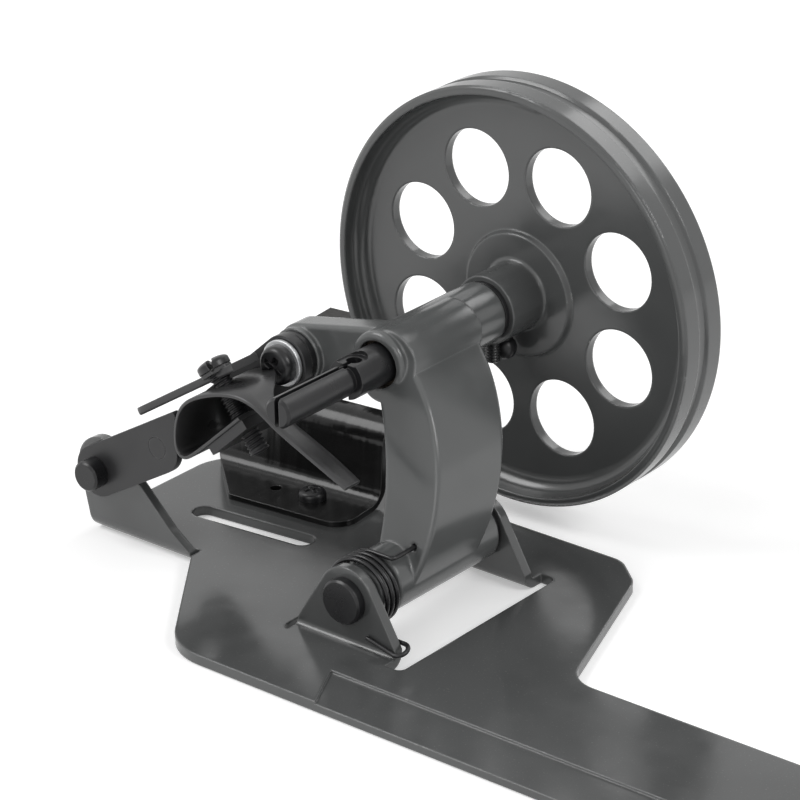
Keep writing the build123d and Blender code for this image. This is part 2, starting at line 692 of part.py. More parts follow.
def upper_link():
    plate = hull(disc(KNEE, LINK_HALF), disc(LEVER_END, LINK_HALF))
    drop, low = -FLANGE_DROP, -FLANGE_DROP - UPPER_SHEET
    u0, u1 = FLANGE
    corners = [on_link(u0, 0), on_link(u0, low), on_link(u1, low), on_link(u1, 0)]
    plate += rounded([(x, z, 0) for x, z in corners])
    link = along_y(plate, UPPER_LINK_Y, UPPER_LINK_Y + UPPER_SHEET)
    corners = [on_link(u0, drop), on_link(u0, low), on_link(u1, low), on_link(u1, drop)]
    link += along_y(rounded([(x, z, 0) for x, z in corners]), STRIP_Y[0] + 0.4, UPPER_LINK_Y + 1)
    link -= rod(KNEE, KNEE_R + SEAT, UPPER_LINK_Y - 1, UPPER_LINK_Y + UPPER_SHEET + 1)
    link -= rod(LEVER_END, OPEN_PIVOT_R, UPPER_LINK_Y - 1, UPPER_LINK_Y + UPPER_SHEET + 1)
    return link - adjuster(ADJUST_R + RUN, -30, 30)


def link_screw():
    head_y = UPPER_LINK_Y - 2 * FACE - WASHER
    top = head_y - SCREW_HEAD
    dome = Plane.XY * rounded([(0, top, 0), (SCREW_HEAD_R, top, SCREW_HEAD * 0.7),
                               (SCREW_HEAD_R, head_y, 0), (0, head_y, 0)])
    screw = Pos(LEVER_END[0], 0, LEVER_END[1]) * revolve(dome, Axis.Y)
    screw += rod(LEVER_END, SCREW_R, head_y, LEVER_BOSS_Y[1])
    return screw


def link_washer():
    head_y = UPPER_LINK_Y - 2 * FACE - WASHER
    ring = Circle(WASHER_R) - Circle(SCREW_R + SEAT)
    return along_y(Pos(*LEVER_END) * ring, head_y, head_y + WASHER)


def link_spacer():
    ring = Circle(SPACER_R) - Circle(SCREW_R + SEAT)
    y0 = UPPER_LINK_Y + UPPER_SHEET + 2 * FACE
    return along_y(Pos(*LEVER_END) * ring, y0, LEVER_BOSS_Y[0])


# ---------------------------------------------------------------- feeler

def leaf_point(x, at, turn):
    """The z of a straight leaf through at at the given angle."""
    return at[1] + (x - at[0]) * tan(radians(turn))


def meet(at_a, turn_a, at_b, turn_b):
    """Where two straight leaves would cross."""
    slope_a, slope_b = tan(radians(turn_a)), tan(radians(turn_b))
    x = (at_b[1] - at_a[1] + slope_a * at_a[0] - slope_b * at_b[0]) / (slope_a - slope_b)
    return (x, leaf_point(x, at_a, turn_a))


def feeler_corners():
    """Centre line of the feeler: lower leaf, loop, top leaf and finger, as (x, z, radius)."""
    low = -FLANGE_DROP + STRIP / 2
    end = on_link(FLANGE[1], low)
    along = link_axes()[0]
    corner = on_link((LOOP_X - on_link(0, low)[0]) / along[0], low)
    crown = (TOP_AT[0] + 11.0, TOP_AT[1] + 1.4)
    peak = meet(TOP_AT, TOP_TURN, crown, -6)
    fall = (-12.2, 41.55)
    return [
        (end[0], end[1], 0),
        (corner[0], corner[1], 1.8),
        (LOOP_X, leaf_point(LOOP_X, TOP_AT, TOP_TURN), 3.5),
        (peak[0], peak[1], 5.0),
        (fall[0], fall[1], 3.0),
        (-9.4, leaf_point(-9.4, FINGER_AT, FINGER_TURN), 2.5),
        (FINGER_END, leaf_point(FINGER_END, FINGER_AT, FINGER_TURN), 0),
    ]


def feeler():
    strip = along_y(band(feeler_corners(), STRIP), *STRIP_Y)
    front, back = STRIP_Y
    top = Pos(0, 0, 44) * Box(400, 400, 60, align=(Align.CENTER, Align.CENTER, Align.MIN))
    notch = rounded([(-27.5, back + 2, 0), (-25.5, FINGER_BACK, 4.5), (FINGER_END - 2.5, FINGER_BACK, 0),
                     (FINGER_END - 2.5, front - 1, 0), (40, front - 1, 0), (40, back + 2, 0)])
    tip = Pos(FINGER_END - 2.5, (front + FINGER_BACK) / 2) * Circle((FINGER_BACK - front) / 2)
    low_leaf_end = on_link(FLANGE[1], 0)
    cut = extrude(Pos(0, 0, 20) * (notch - tip), amount=40)
    keep = along_y(rounded([(-40, 15, 0), (low_leaf_end[0] + 2.5, 15, 0), (low_leaf_end[0] + 2.5, 39.2, 0),
                            (-24, 39.2, 0), (-40, 24, 0)]), front - 1, back + 1)
    strip -= cut - keep
    return strip - adjuster(ADJUST_R + 0.25, -30, 30)


def adjust_frame():
    """Origin on the top of the top leaf at the adjusting screw, Z along the screw, away from the leaf."""
    tilt = radians(TOP_TURN)
    lift = STRIP / 2
    origin = (TOP_AT[0] - sin(tilt) * lift, ADJUST_Y, TOP_AT[1] + cos(tilt) * lift)
    return Plane(origin=origin, x_dir=(cos(tilt), 0, sin(tilt)), z_dir=(-sin(tilt), 0, cos(tilt)))


def adjuster(radius, low, high):
    """A cylinder on the adjusting screw's axis, between two heights above the top leaf."""
    return adjust_frame() * Pos(0, 0, (low + high) / 2) * Cylinder(radius, high - low)


def thumb_plate():
    y0, y1 = THUMB_Y[0] - ADJUST_Y, THUMB_Y[1] - ADJUST_Y
    x0, x1 = THUMB
    blank = rounded([(x0, y0, 1.5), (x1, y0, 1.0), (x1, y1, 1.0), (x0, y1, 2.5)])
    plate = adjust_frame() * extrude(blank, amount=THUMB_SHEET)
    return plate - adjuster(ADJUST_R + 0.25, -2, 6)


def lock_nut():
    nut = extrude(Rectangle(NUT_ACROSS, NUT_ACROSS - 0.4), amount=NUT)
    nut = chamfer(nut.edges().group_by(Axis.Z)[-1], 0.4)
    return adjust_frame() * Pos(0, 0, THUMB_SHEET) * nut - adjuster(ADJUST_R + RUN, -2, 9)


def adjusting_screw():
    head_at = THUMB_SHEET + NUT + 0.4
    screw = adjuster(ADJUST_R, -ADJUST_TIP, head_at)
    head = Pos(0, 0, head_at + ADJUST_HEAD / 2) * Cylinder(ADJUST_HEAD_R, ADJUST_HEAD)
    head = chamfer(head.edges().group_by(Axis.Z)[-1], 0.4)
    head -= Pos(0, 0, head_at + ADJUST_HEAD) * Box(0.9, 3 * ADJUST_HEAD_R, 1.8)
    return screw + adjust_frame() * head


# ---------------------------------------------------------------- brake

def brake_side():
    """Side view of the bracket, drawn from its screw: foot, wall, roll and tail."""
    half = BRAKE_SHEET / 2
    wall = BRAKE_WALL_AT + half
    top = BRAKE_HEIGHT - half
    return band([(BRAKE_FRONT, half, 0), (wall, half, BRAKE_BEND),
                 (wall + 1.5, top, BRAKE_ROLL), (BRAKE_DEPTH, top, 0)], BRAKE_SHEET)


def brake_bracket():
    x0, x1 = BRAKE_WALL
    sheet = along_x(brake_side(), x0, x1)
    foot = rounded([(BRAKE_FOOT[0], BRAKE_FRONT, 1.5), (BRAKE_FOOT[1], BRAKE_FRONT, 5),
                    (BRAKE_FOOT[1] + 0.01, 6, 0), (x1, 8, 0), (x1, 40, 0), (x0, 40, 0), (x0, 6.5, 1)])
    sheet &= extrude(foot, amount=40)
    level = BRAKE_HEIGHT - BRAKE_SHEET
    t0, t1 = TONGUE
    tongue = rounded([(t0, BRAKE_DEPTH - 0.01, 0), (t1, BRAKE_DEPTH - 0.01, 0),
                      (t1, TONGUE_END, 2), (t0, TONGUE_END, 2)])
    sheet += extrude(Pos(0, 0, level) * tongue, amount=BRAKE_SHEET)
    sheet -= Pos(0, 0, 0) * Cylinder(BRAKE_SCREW_R + SEAT, 8)
    sheet -= Pos(SPARE_HOLE_AT, 0, 0) * Cylinder(SPARE_HOLE_R, 8)
    return brake_frame() * sheet


def released_wheel():
    """Axis of the wheel, as (x, z), when the arm has swung off the belt."""
    turn = radians(RELEASE)
    x, z = -PIVOT[0], SPINDLE_Z - PIVOT[1]
    return (PIVOT[0] + x * cos(turn) - z * sin(turn), PIVOT[1] + x * sin(turn) + z * cos(turn))


def brake_pad():
    t0, t1 = TONGUE
    length = TONGUE_END - PAD_FRONT
    block = Pos((t0 + t1) / 2, PAD_FRONT + length / 2, BRAKE_HEIGHT) * Box(
        t1 - t0 - 0.6, length - 0.6, PAD_HEIGHT, align=(Align.CENTER, Align.CENTER, Align.MIN))
    return brake_frame() * block - rod(released_wheel(), WHEEL_R + PAD_GAP, 0, 100)


def brake_screw():
    z0 = BRAKE_SHEET
    screw = Pos(0, 0, (z0 - SHEET) / 2) * Cylinder(BRAKE_SCREW_R, z0 + SHEET)
    head = Pos(0, 0, z0) * Cylinder(BRAKE_HEAD_R, BRAKE_HEAD, align=(Align.CENTER, Align.CENTER, Align.MIN))
    head = fillet(head.edges().group_by(Axis.Z)[-1], BRAKE_HEAD * 0.6)
    return brake_frame() * (screw + head)


# ---------------------------------------------------------------- thread tension

def tension_post():
    start = ARM_END - SHEET
    post = rod_x(POST_AT, POST_R, start, ARM_END + POST_LENGTH)
    hexagon = Pos(*POST_AT) * RegularPolygon(POST_HEAD_R, 6)
    return post + along_x(hexagon, start - POST_HEAD, start)


def tension_disc(x, facing):
    """A dished disc on the post; facing is +1 when its rim curls towards +X."""
    bore = POST_R + 0.15
    mid = DISC_SHEET / 2
    path = [(bore, mid, 0), (DISC_R - 3.0, mid, 3.0), (DISC_R, mid + DISC_DISH, 0)]
    ring = revolve(Plane.XY * band(path, DISC_SHEET), Axis.Y)
    turned = Rot(0, 0, -90) * ring if facing > 0 else Rot(0, 0, 90) * ring
    return Pos(x, *POST_AT) * turned


def disc_face():
    """Where the two discs touch the thread."""
    return ARM_END + DISC_SHEET + DISC_DISH + 0.5


def inner_disc():
    return tension_disc(disc_face(), -1)


def outer_disc():
    return tension_disc(disc_face() + FACE, 1)


def tension_spring():
    start = disc_face() + DISC_SHEET + 2 * FACE + COIL_WIRE_R
    pitch = COIL_LENGTH / COIL_TURNS
    climb = pitch / (2 * pi * COIL_R)
    stations = []
    for i in range(4 * COIL_TURNS + 1):
        turn = radians(90 * i)
        y, z = POST_AT[0] + COIL_R * cos(turn), POST_AT[1] + COIL_R * sin(turn)
        point = Vector(start + pitch * i / 4, y, z)
        stations.append((point, Vector(climb, -sin(turn), cos(turn)).normalized()))
    return bent_wire("tension_spring", stations, COIL_WIRE_R)


def tension_nut():
    start = disc_face() + DISC_SHEET + 3 * FACE + 2 * COIL_WIRE_R + COIL_LENGTH
    knob = Circle(KNOB_R)
    for i in range(KNOB_FLUTES):
        knob -= Rot(0, 0, 360 / KNOB_FLUTES * i) * Pos(KNOB_R + 0.1, 0) * Circle(0.5)
    knob -= Circle(POST_R + RUN)
    return along_x(Pos(*POST_AT) * knob, start, start + KNOB)


def thread_eye():
    ring = Circle(EYE_R + EYE_WALL) - Circle(EYE_R)
    lip = Circle(EYE_R + EYE_WALL + 0.6) - Circle(EYE_R)
    eye = along_x(Pos(*EYE_AT) * ring, ARM_END - SHEET - 0.5, ARM_END)
    return eye + along_x(Pos(*EYE_AT) * lip, ARM_END, ARM_END + 0.6)


NODES = [
    base_plate, pivot_pin, pivot_clip, pivot_washer, return_spring,
    swing_arm, front_bush, rear_bush, link_screw, link_washer, link_spacer,
    spindle, drive_wheel, set_screw, dome_screw, thrust_washer,
    latch_stud, lower_link, upper_link, knee_pin, knee_sleeve,
    feeler, thumb_plate, lock_nut, adjusting_screw,
    brake_bracket, brake_pad, brake_screw,
    tension_post, inner_disc, outer_disc, tension_spring, tension_nut, thread_eye,
]


def main():
    os.makedirs("parts", exist_ok=True)
    for make in NODES:
        export_step(one(make()), f"parts/{make.__name__}.step")


main()
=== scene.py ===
import bmesh
import bpy
import numpy as np
from mathutils import Matrix, Vector


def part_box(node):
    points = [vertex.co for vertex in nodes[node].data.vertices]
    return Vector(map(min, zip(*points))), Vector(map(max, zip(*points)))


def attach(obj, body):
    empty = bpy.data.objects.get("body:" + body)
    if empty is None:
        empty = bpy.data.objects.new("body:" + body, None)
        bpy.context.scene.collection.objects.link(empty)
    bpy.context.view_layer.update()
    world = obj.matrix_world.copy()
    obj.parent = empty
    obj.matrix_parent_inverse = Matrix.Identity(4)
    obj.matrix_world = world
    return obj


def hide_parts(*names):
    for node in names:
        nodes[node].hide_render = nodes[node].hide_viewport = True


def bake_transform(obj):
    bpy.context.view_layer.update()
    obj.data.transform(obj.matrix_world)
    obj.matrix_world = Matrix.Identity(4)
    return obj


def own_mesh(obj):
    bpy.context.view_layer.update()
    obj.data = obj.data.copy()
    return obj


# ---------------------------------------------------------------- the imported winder
# The winder as it was built: every rigid piece at its own size and place, on the body it moves with.
# What follows gives each its finish, and stands finer pieces in for screws, springs and the knob.

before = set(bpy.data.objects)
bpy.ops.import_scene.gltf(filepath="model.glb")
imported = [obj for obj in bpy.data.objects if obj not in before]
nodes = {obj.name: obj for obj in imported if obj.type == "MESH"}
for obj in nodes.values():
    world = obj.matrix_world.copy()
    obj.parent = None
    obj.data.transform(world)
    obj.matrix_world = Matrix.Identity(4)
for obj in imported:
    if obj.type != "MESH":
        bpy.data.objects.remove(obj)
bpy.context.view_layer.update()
MM = 0.001

# ---------------------------------------------------------------- camera
# A long lens at the winder's front right corner, a little above it, as in the studio photograph.
# Place, turn and length come from a fit to the wheel's rim and holes and to three lines of the plate.

CAMERA_AT = Vector((398.6, -433.3, 314.9)) * MM
CAMERA_RIGHT = Vector((0.7673, 0.6409, -0.0215)).normalized()
CAMERA_UP = Vector((-0.2489, 0.3284, 0.9111)).normalized()
FOCAL_PIXELS = 3564.6
PHOTO_PIXELS = 800.0

camera_data = bpy.data.cameras.new("camera")
camera_data.sensor_width = 36.0
camera_data.lens = FOCAL_PIXELS / PHOTO_PIXELS * camera_data.sensor_width
camera_data.clip_start = 0.01
camera = bpy.data.objects.new("camera", camera_data)
camera_back = CAMERA_RIGHT.cross(CAMERA_UP).normalized()
camera_turn = Matrix((CAMERA_RIGHT, camera_back.cross(CAMERA_RIGHT), camera_back)).transposed()
camera.matrix_world = Matrix.Translation(CAMERA_AT) @ camera_turn.to_4x4()
bpy.context.scene.collection.objects.link(camera)
bpy.context.scene.camera = camera
bpy.context.scene.view_settings.view_transform = "Standard"

# ---------------------------------------------------------------- table and lamps
# The winder stands on a white table in a white room, lit by large soft boxes from the left and the
# right. The table shows white to the lens and keeps only a faint shadow, as in a cut-out picture.

ROOM_LIGHT = 0.42
ROOM_SEEN = 1.0
TABLE_LIFT = 0.34
TABLE_HALF = 3.0
TABLE_DROP = 0.0002
TABLE_WHITE = (0.86, 0.86, 0.86, 1)
LAMP_AIM = Vector((0.0, 0.03, 0.03))
LAMPS = [
    ("left_box", (-0.75, -0.55, 1.05), 0.8, 8.5),
    ("right_box", (0.95, 0.10, 0.75), 0.5, 4.2),
    ("front_strip", (0.25, -1.10, 0.35), 0.5, 1.6),
    ("rear_box", (0.05, 0.95, 0.60), 0.7, 3.0),
]


def lays(tree, kind, settings=None, **inputs):
    """Add a shader node, set it up, and give its inputs values or the sockets that feed them."""
    made = tree.nodes.new("ShaderNode" + kind)
    for key, value in (settings or {}).items():
        setattr(made, key, value)
    for key, value in inputs.items():
        socket = made.inputs[int(key[1:])] if key[1:].isdigit() else made.inputs[key.replace("_", " ")]
        if isinstance(value, bpy.types.NodeSocket):
            tree.links.new(value, socket)
        else:
            socket.default_value = value
    return made


def maths(tree, operation, a, b=0.0, clamp=False):
    """The result of one sum on two numbers or sockets."""
    return lays(tree, "Math", {"operation": operation, "use_clamp": clamp}, _0=a, _1=b).outputs[0]


def seen_directly(tree):
    """1 for rays from the lens, or from a shiny or clear surface, and 0 for the rest."""
    ray = lays(tree, "LightPath").outputs
    shiny = maths(tree, "MAXIMUM", ray["Is Glossy Ray"], ray["Is Transmission Ray"])
    return maths(tree, "MAXIMUM", ray["Is Camera Ray"], shiny)


world = bpy.data.worlds.new("studio")
bpy.context.scene.world = world
world.use_nodes = True
room = world.node_tree
room.nodes.clear()
lit = lays(room, "Background", Color=(1, 1, 1, 1), Strength=ROOM_LIGHT)
seen = lays(room, "Background", Color=(1, 1, 1, 1), Strength=ROOM_SEEN)
either = lays(room, "MixShader", _0=seen_directly(room), _1=lit.outputs[0], _2=seen.outputs[0])
lays(room, "OutputWorld", Surface=either.outputs[0])

table_paint = bpy.data.materials.new("table_white")
table_paint.use_nodes = True
tree = table_paint.node_tree
tree.nodes.clear()
matt = lays(tree, "BsdfDiffuse", Color=TABLE_WHITE)
lift_amount = maths(tree, "MULTIPLY", seen_directly(tree), TABLE_LIFT)
lift = lays(tree, "Emission", Color=(1, 1, 1, 1), Strength=lift_amount)
both = lays(tree, "AddShader", _0=matt.outputs[0], _1=lift.outputs[0])
lays(tree, "OutputMaterial", Surface=both.outputs[0])

table_mesh = bpy.data.meshes.new("table")
corners = TABLE_HALF * np.array([(-1, -1, 0), (1, -1, 0), (1, 1, 0), (-1, 1, 0)])
table_mesh.from_pydata(corners.tolist(), [], [(0, 1, 2, 3)])
table_mesh.materials.append(table_paint)
table = bpy.data.objects.new("table", table_mesh)
table.location.z = -TABLE_DROP
bpy.context.scene.collection.objects.link(table)

for lamp_name, lamp_at, lamp_size, lamp_power in LAMPS:
    lamp_data = bpy.data.lights.new(lamp_name, "AREA")
    lamp_data.shape = "DISK"
    lamp_data.size = lamp_size
    lamp_data.energy = lamp_power
    lamp = bpy.data.objects.new(lamp_name, lamp_data)
    aim = LAMP_AIM - Vector(lamp_at)
    lamp.matrix_world = Matrix.Translation(lamp_at) @ aim.to_track_quat("-Z", "Y").to_matrix().to_4x4()
    bpy.context.scene.collection.objects.link(lamp)

# ---------------------------------------------------------------- base plate
# Two-millimetre steel sheet, pressed and bent: two ears up for the arm's pivot, one for the latch and
# one at the arm's end. It is dipped in glossy dark grey enamel, with a pale highlight painted along its
# edges.

ENAMEL = (0.066, 0.068, 0.068, 1)
# Pale grey painted along the rounded edges as a highlight, broken up by noise like worn paint.
ENAMEL_EDGE_HIGHLIGHT = (0.24, 0.245, 0.245, 1)
BARE_METAL = (0.62, 0.62, 0.60, 1)
DUST = (0.32, 0.31, 0.30, 1)
PLATE_EDGE = 0.6 * MM


def shader_group(name, inputs, outputs):
    """A node group with named inputs, each with its own default value, and named outputs."""
    group = bpy.data.node_groups.new(name, "ShaderNodeTree")
    for title, value in inputs.items():
        made = group.interface.new_socket(title, in_out="INPUT", socket_type="NodeSocketFloat")
        made.default_value = value
    for title, kind in outputs.items():
        group.interface.new_socket(title, in_out="OUTPUT", socket_type="NodeSocket" + kind)
    return group, group.nodes.new("NodeGroupInput").outputs, group.nodes.new("NodeGroupOutput").inputs


def noise(tree, scale, detail=2.0, rough=0.5, squeeze=(1, 1, 1)):
    """Noise in the piece's own coordinates, squeezed along an axis where a pattern runs that way."""
    where = lays(tree, "TexCoord").outputs["Object"]
    where = lays(tree, "Mapping", Vector=where, Scale=squeeze).outputs[0]
    return lays(tree, "TexNoise", Vector=where, Scale=scale, Detail=detail, Roughness=rough).outputs["Fac"]


def spread(tree, value, low, high, to_low=0.0, to_high=1.0):
    """Map low..high to another range and clamp it there."""
    return lays(tree, "MapRange", {"clamp": True}, Value=value, From_Min=low, From_Max=high,
                To_Min=to_low, To_Max=to_high).outputs[0]


# Edge wear and painted edge highlight: a rounded normal at the edges, and a mask of them, broken up by
# noise. The enamels paint a highlight with the mask; steel, bracket and rubber show rubbed edges with it.
edge_wear_and_highlight, given, out = shader_group(
    "edge_wear_and_highlight", {"Radius": 0.0005, "Gain": 3.0, "Breakup": 0.5, "Scale": 300.0},
    {"Normal": "Vector", "Edge": "Float"})
rounded = lays(edge_wear_and_highlight, "Bevel", {"samples": 6}, Radius=given["Radius"]).outputs[0]
true_normal = lays(edge_wear_and_highlight, "NewGeometry").outputs["Normal"]
agree = lays(edge_wear_and_highlight, "VectorMath", {"operation": "DOT_PRODUCT"},
             _0=rounded, _1=true_normal).outputs["Value"]
edge = maths(edge_wear_and_highlight, "MULTIPLY", maths(edge_wear_and_highlight, "SUBTRACT", 1.0, agree), given["Gain"], clamp=True)
patchy = spread(edge_wear_and_highlight, noise(edge_wear_and_highlight, given["Scale"], 3.0), 0.35, 0.65)
kept = maths(edge_wear_and_highlight, "SUBTRACT", 1.0, maths(edge_wear_and_highlight, "MULTIPLY", given["Breakup"],
                                               maths(edge_wear_and_highlight, "SUBTRACT", 1.0, patchy)))
edge_wear_and_highlight.links.new(rounded, out["Normal"])
edge_wear_and_highlight.links.new(maths(edge_wear_and_highlight, "MULTIPLY", edge, kept), out["Edge"])

# Enamel skin: the slight waves and orange peel of dipped paint, and its uneven tone and gloss.
enamel_skin, given, out = shader_group(
    "enamel_skin", {"Wave Scale": 90.0, "Peel Scale": 900.0, "Peel": 0.25},
    {"Height": "Float", "Tone": "Float", "Gloss": "Float"})
waves = noise(enamel_skin, given["Wave Scale"], 2.0)
peel = maths(enamel_skin, "MULTIPLY", noise(enamel_skin, given["Peel Scale"], 1.0), given["Peel"])
enamel_skin.links.new(maths(enamel_skin, "ADD", waves, peel), out["Height"])
enamel_skin.links.new(spread(enamel_skin, noise(enamel_skin, 28.0, 3.0), 0.3, 0.7), out["Tone"])
enamel_skin.links.new(spread(enamel_skin, noise(enamel_skin, 160.0, 4.0), 0.3, 0.7), out["Gloss"])

# Dust and nicks: grains that lie on what faces up, and small bare spots that gather at the edges.
dust_and_nicks, given, out = shader_group(
    "dust_and_nicks", {"Dust": 0.3, "Nicks": 0.5, "Edge": 0.0, "Scale": 420.0},
    {"Dust": "Float", "Nicks": "Float"})
facing = lays(dust_and_nicks, "SeparateXYZ", Vector=lays(dust_and_nicks, "NewGeometry").outputs["Normal"])
upward = spread(dust_and_nicks, facing.outputs["Z"], 0.5, 1.0)
grains = spread(dust_and_nicks, noise(dust_and_nicks, 2600.0, 2.0), 0.66, 0.72)
lying = maths(dust_and_nicks, "MULTIPLY", upward, maths(dust_and_nicks, "MULTIPLY", grains, given["Dust"]))
dots = spread(dust_and_nicks, noise(dust_and_nicks, given["Scale"], 2.0, 0.6), 0.66, 0.70)
at_edges = maths(dust_and_nicks, "MULTIPLY", given["Edge"], given["Nicks"])
flaws = maths(dust_and_nicks, "MULTIPLY", dots, at_edges)
dust_and_nicks.links.new(lying, out["Dust"])
dust_and_nicks.links.new(maths(dust_and_nicks, "MULTIPLY", flaws, 1.0, clamp=True), out["Nicks"])


def placed(tree, group, **values):
    """Put a shader group in a material with its own values."""
    made = tree.nodes.new("ShaderNodeGroup")
    made.node_tree = group
    for key, value in values.items():
        socket = made.inputs[key.replace("_", " ")]
        if isinstance(value, bpy.types.NodeSocket):
            tree.links.new(value, socket)
        else:
            socket.default_value = value
    return made.outputs


def blend(tree, amount, one, other):
    """Mix two colours."""
    mixed = lays(tree, "Mix", {"data_type": "RGBA"}, _0=amount, _6=one, _7=other)
    return mixed.outputs[2]


def finish(name, sockets):
    """A material with one Principled shader, whose plain values are set on its own sockets."""
    made = bpy.data.materials.new(name)
    made.use_nodes = True
    shader = made.node_tree.nodes["Principled BSDF"]
    for key, value in sockets.items():
        shader.inputs[key].default_value = value
    return made, made.node_tree, shader


def enamel(name, colour, edge_highlight_colour, radius, gloss, wave=90.0):
    """Glossy dipped enamel: uneven tone, a pale highlight painted along the edges and broken up like wear,
    a few nicks, and waves in its surface.
    """
    made, tree, shader = finish(name, {"IOR": 1.58})
    edges_worn_and_lit = placed(tree, edge_wear_and_highlight, Radius=radius, Gain=2.2, Breakup=0.35, Scale=140.0)
    skin_of = placed(tree, enamel_skin, Wave_Scale=wave, Peel_Scale=700.0, Peel=0.12)
    marks = placed(tree, dust_and_nicks, Dust=0.16, Nicks=0.9, Edge=edges_worn_and_lit["Edge"], Scale=260.0)
    lighter = tuple(1.22 * c for c in colour[:3]) + (1,)
    tone = blend(tree, skin_of["Tone"], colour, lighter)
    # Painted highlight: the edge mask lightens the rounded edges towards the pale edge colour.
    tone = blend(tree, maths(tree, "MULTIPLY", edges_worn_and_lit["Edge"], 0.75), tone, edge_highlight_colour)
    tone = blend(tree, marks["Dust"], tone, DUST)
    tone = blend(tree, marks["Nicks"], tone, BARE_METAL)
    tree.links.new(tone, shader.inputs["Base Color"])
    roughness = spread(tree, skin_of["Gloss"], 0.0, 1.0, gloss, gloss + 0.09)
    tree.links.new(roughness, shader.inputs["Roughness"])
    bump = lays(tree, "Bump", Strength=0.10, Distance=0.4 * MM,
                Height=skin_of["Height"], Normal=edges_worn_and_lit["Normal"])
    tree.links.new(bump.outputs[0], shader.inputs["Normal"])
    return made


def dress(material, *names):
    """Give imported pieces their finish."""
    for name in names:
        nodes[name].data.materials.clear()
        nodes[name].data.materials.append(material)


plate_enamel = enamel("plate_enamel", ENAMEL, ENAMEL_EDGE_HIGHLIGHT, PLATE_EDGE, 0.12)
dress(plate_enamel, "base_plate")

# ---------------------------------------------------------------- swing arm
# One grey iron casting: two bosses joined by a curved arm, with a flat lever to the latch. Its edges
# are left round by the mould, the bores are machined, and it wears the same enamel, a little thicker.

CAST_ENAMEL = (0.080, 0.083, 0.083, 1)
# Pale grey painted on the casting's rounded edges as a highlight.
CAST_EDGE_HIGHLIGHT = (0.34, 0.345, 0.345, 1)
CAST_ROUND = 0.8 * MM

cast_enamel = enamel("cast_enamel", CAST_ENAMEL, CAST_EDGE_HIGHLIGHT, CAST_ROUND, 0.15, wave=60.0)
dress(cast_enamel, "swing_arm")

# ---------------------------------------------------------------- drive wheel
# A turned iron wheel with a shallow belt groove, a thin web with eight holes, and a hub that two
# screws hold on the spindle. It is enamelled like the base.

WHEEL_ENAMEL = (0.066, 0.068, 0.068, 1)
WHEEL_ROUND = 0.6 * MM

# The wheel's edges get the same painted highlight as the base.
wheel_enamel = enamel("wheel_enamel", WHEEL_ENAMEL, ENAMEL_EDGE_HIGHLIGHT, WHEEL_ROUND, 0.15, wave=70.0)
dress(wheel_enamel, "drive_wheel")

# ---------------------------------------------------------------- spindle and its bushes
# A steel shaft, blackened and oiled, with a sprung nose: a slit, a cross hole and a milled pocket let
# it grip the bobbin. It turns in two sintered bronze bushes, and a steel washer parts hub and boss.

BLACK = (0.010, 0.010, 0.011, 1)
BLACK_RUB = (0.09, 0.09, 0.09, 1)
STEEL_EDGE = 0.22 * MM
BRONZE = (0.035, 0.028, 0.022, 1)

# Tool marks: fine rings left by turning, squeezed along the piece's turning axis.
tool_marks, given, out = shader_group(
    "tool_marks", {"Scale": 60.0, "Depth": 1.0}, {"Height": "Float", "Gloss": "Float"})
rings = noise(tool_marks, given["Scale"], 4.0, 0.7, squeeze=(0.3, 26.0, 0.3))
tool_marks.links.new(maths(tool_marks, "MULTIPLY", rings, given["Depth"]), out["Height"])
tool_marks.links.new(spread(tool_marks, noise(tool_marks, 120.0, 3.0), 0.3, 0.7), out["Gloss"])


def steel(name, colour, rub, gloss, radius=STEEL_EDGE, metal=0.0, marks=0.6, ior=1.45):
    """Steel with a thin dark or bright coat: rubbed edges, uneven oil sheen and fine tool marks."""
    made, tree, shader = finish(name, {"IOR": ior, "Metallic": metal})
    edges_worn_and_lit = placed(tree, edge_wear_and_highlight, Radius=radius, Gain=2.4, Breakup=0.7, Scale=420.0)
    cut = placed(tree, tool_marks, Scale=60.0, Depth=marks)
    dirt = placed(tree, dust_and_nicks, Dust=0.10, Nicks=0.5, Edge=edges_worn_and_lit["Edge"], Scale=700.0)
    tone = blend(tree, maths(tree, "MULTIPLY", edges_worn_and_lit["Edge"], 0.8), colour, rub)
    tone = blend(tree, dirt["Dust"], tone, DUST)
    tone = blend(tree, dirt["Nicks"], tone, BARE_METAL)
    tree.links.new(tone, shader.inputs["Base Color"])
    tree.links.new(spread(tree, cut["Gloss"], 0.0, 1.0, gloss, gloss + 0.14), shader.inputs["Roughness"])
    bump = lays(tree, "Bump", Strength=0.12, Distance=0.2 * MM, Height=cut["Height"], Normal=edges_worn_and_lit["Normal"])
    tree.links.new(bump.outputs[0], shader.inputs["Normal"])
    return made


black_steel = steel("black_steel", BLACK, BLACK_RUB, 0.25)
bronze = steel("oiled_bronze", BRONZE, BRONZE, 0.35, metal=1.0)
dress(black_steel, "spindle", "thrust_washer")
dress(bronze, "front_bush", "rear_bush")

# ---------------------------------------------------------------- pivot
# The casting swings on a headed pin, pushed through both ears and held behind by a spring clip. A
# thin washer takes up the play. Pin and clip are blackened steel.

dress(black_steel, "pivot_pin", "pivot_clip", "pivot_washer")

# ---------------------------------------------------------------- return spring
# Black music wire wound three and a half turns round the casting's front boss. One end is hooked
# round the front ear, the other is bent back into the arm, so it swings the arm away from the belt.

SPRING_ABOUT = np.array((11.3, 0.0, 10.8))
SPRING_WIRE = 0.45
SPRING_COIL = 6.7
SPRING_FRONT = 7.5
SPRING_PITCH = 1.42
SPRING_TURNS = 3.5
SPRING_CORNER = (16.2, 0.9)
SPRING_IN_ARM = 20.0
SPRING_HOOK = (22.9, 1.6)
SPRING_EAR_SIDE = 4.25
SPRING_TIP = (16.5, 4.25, 4.64)
SPRING_HOOK_Z = 3.1
ALONG_Y = np.array((0.0, 1.0, 0.0))


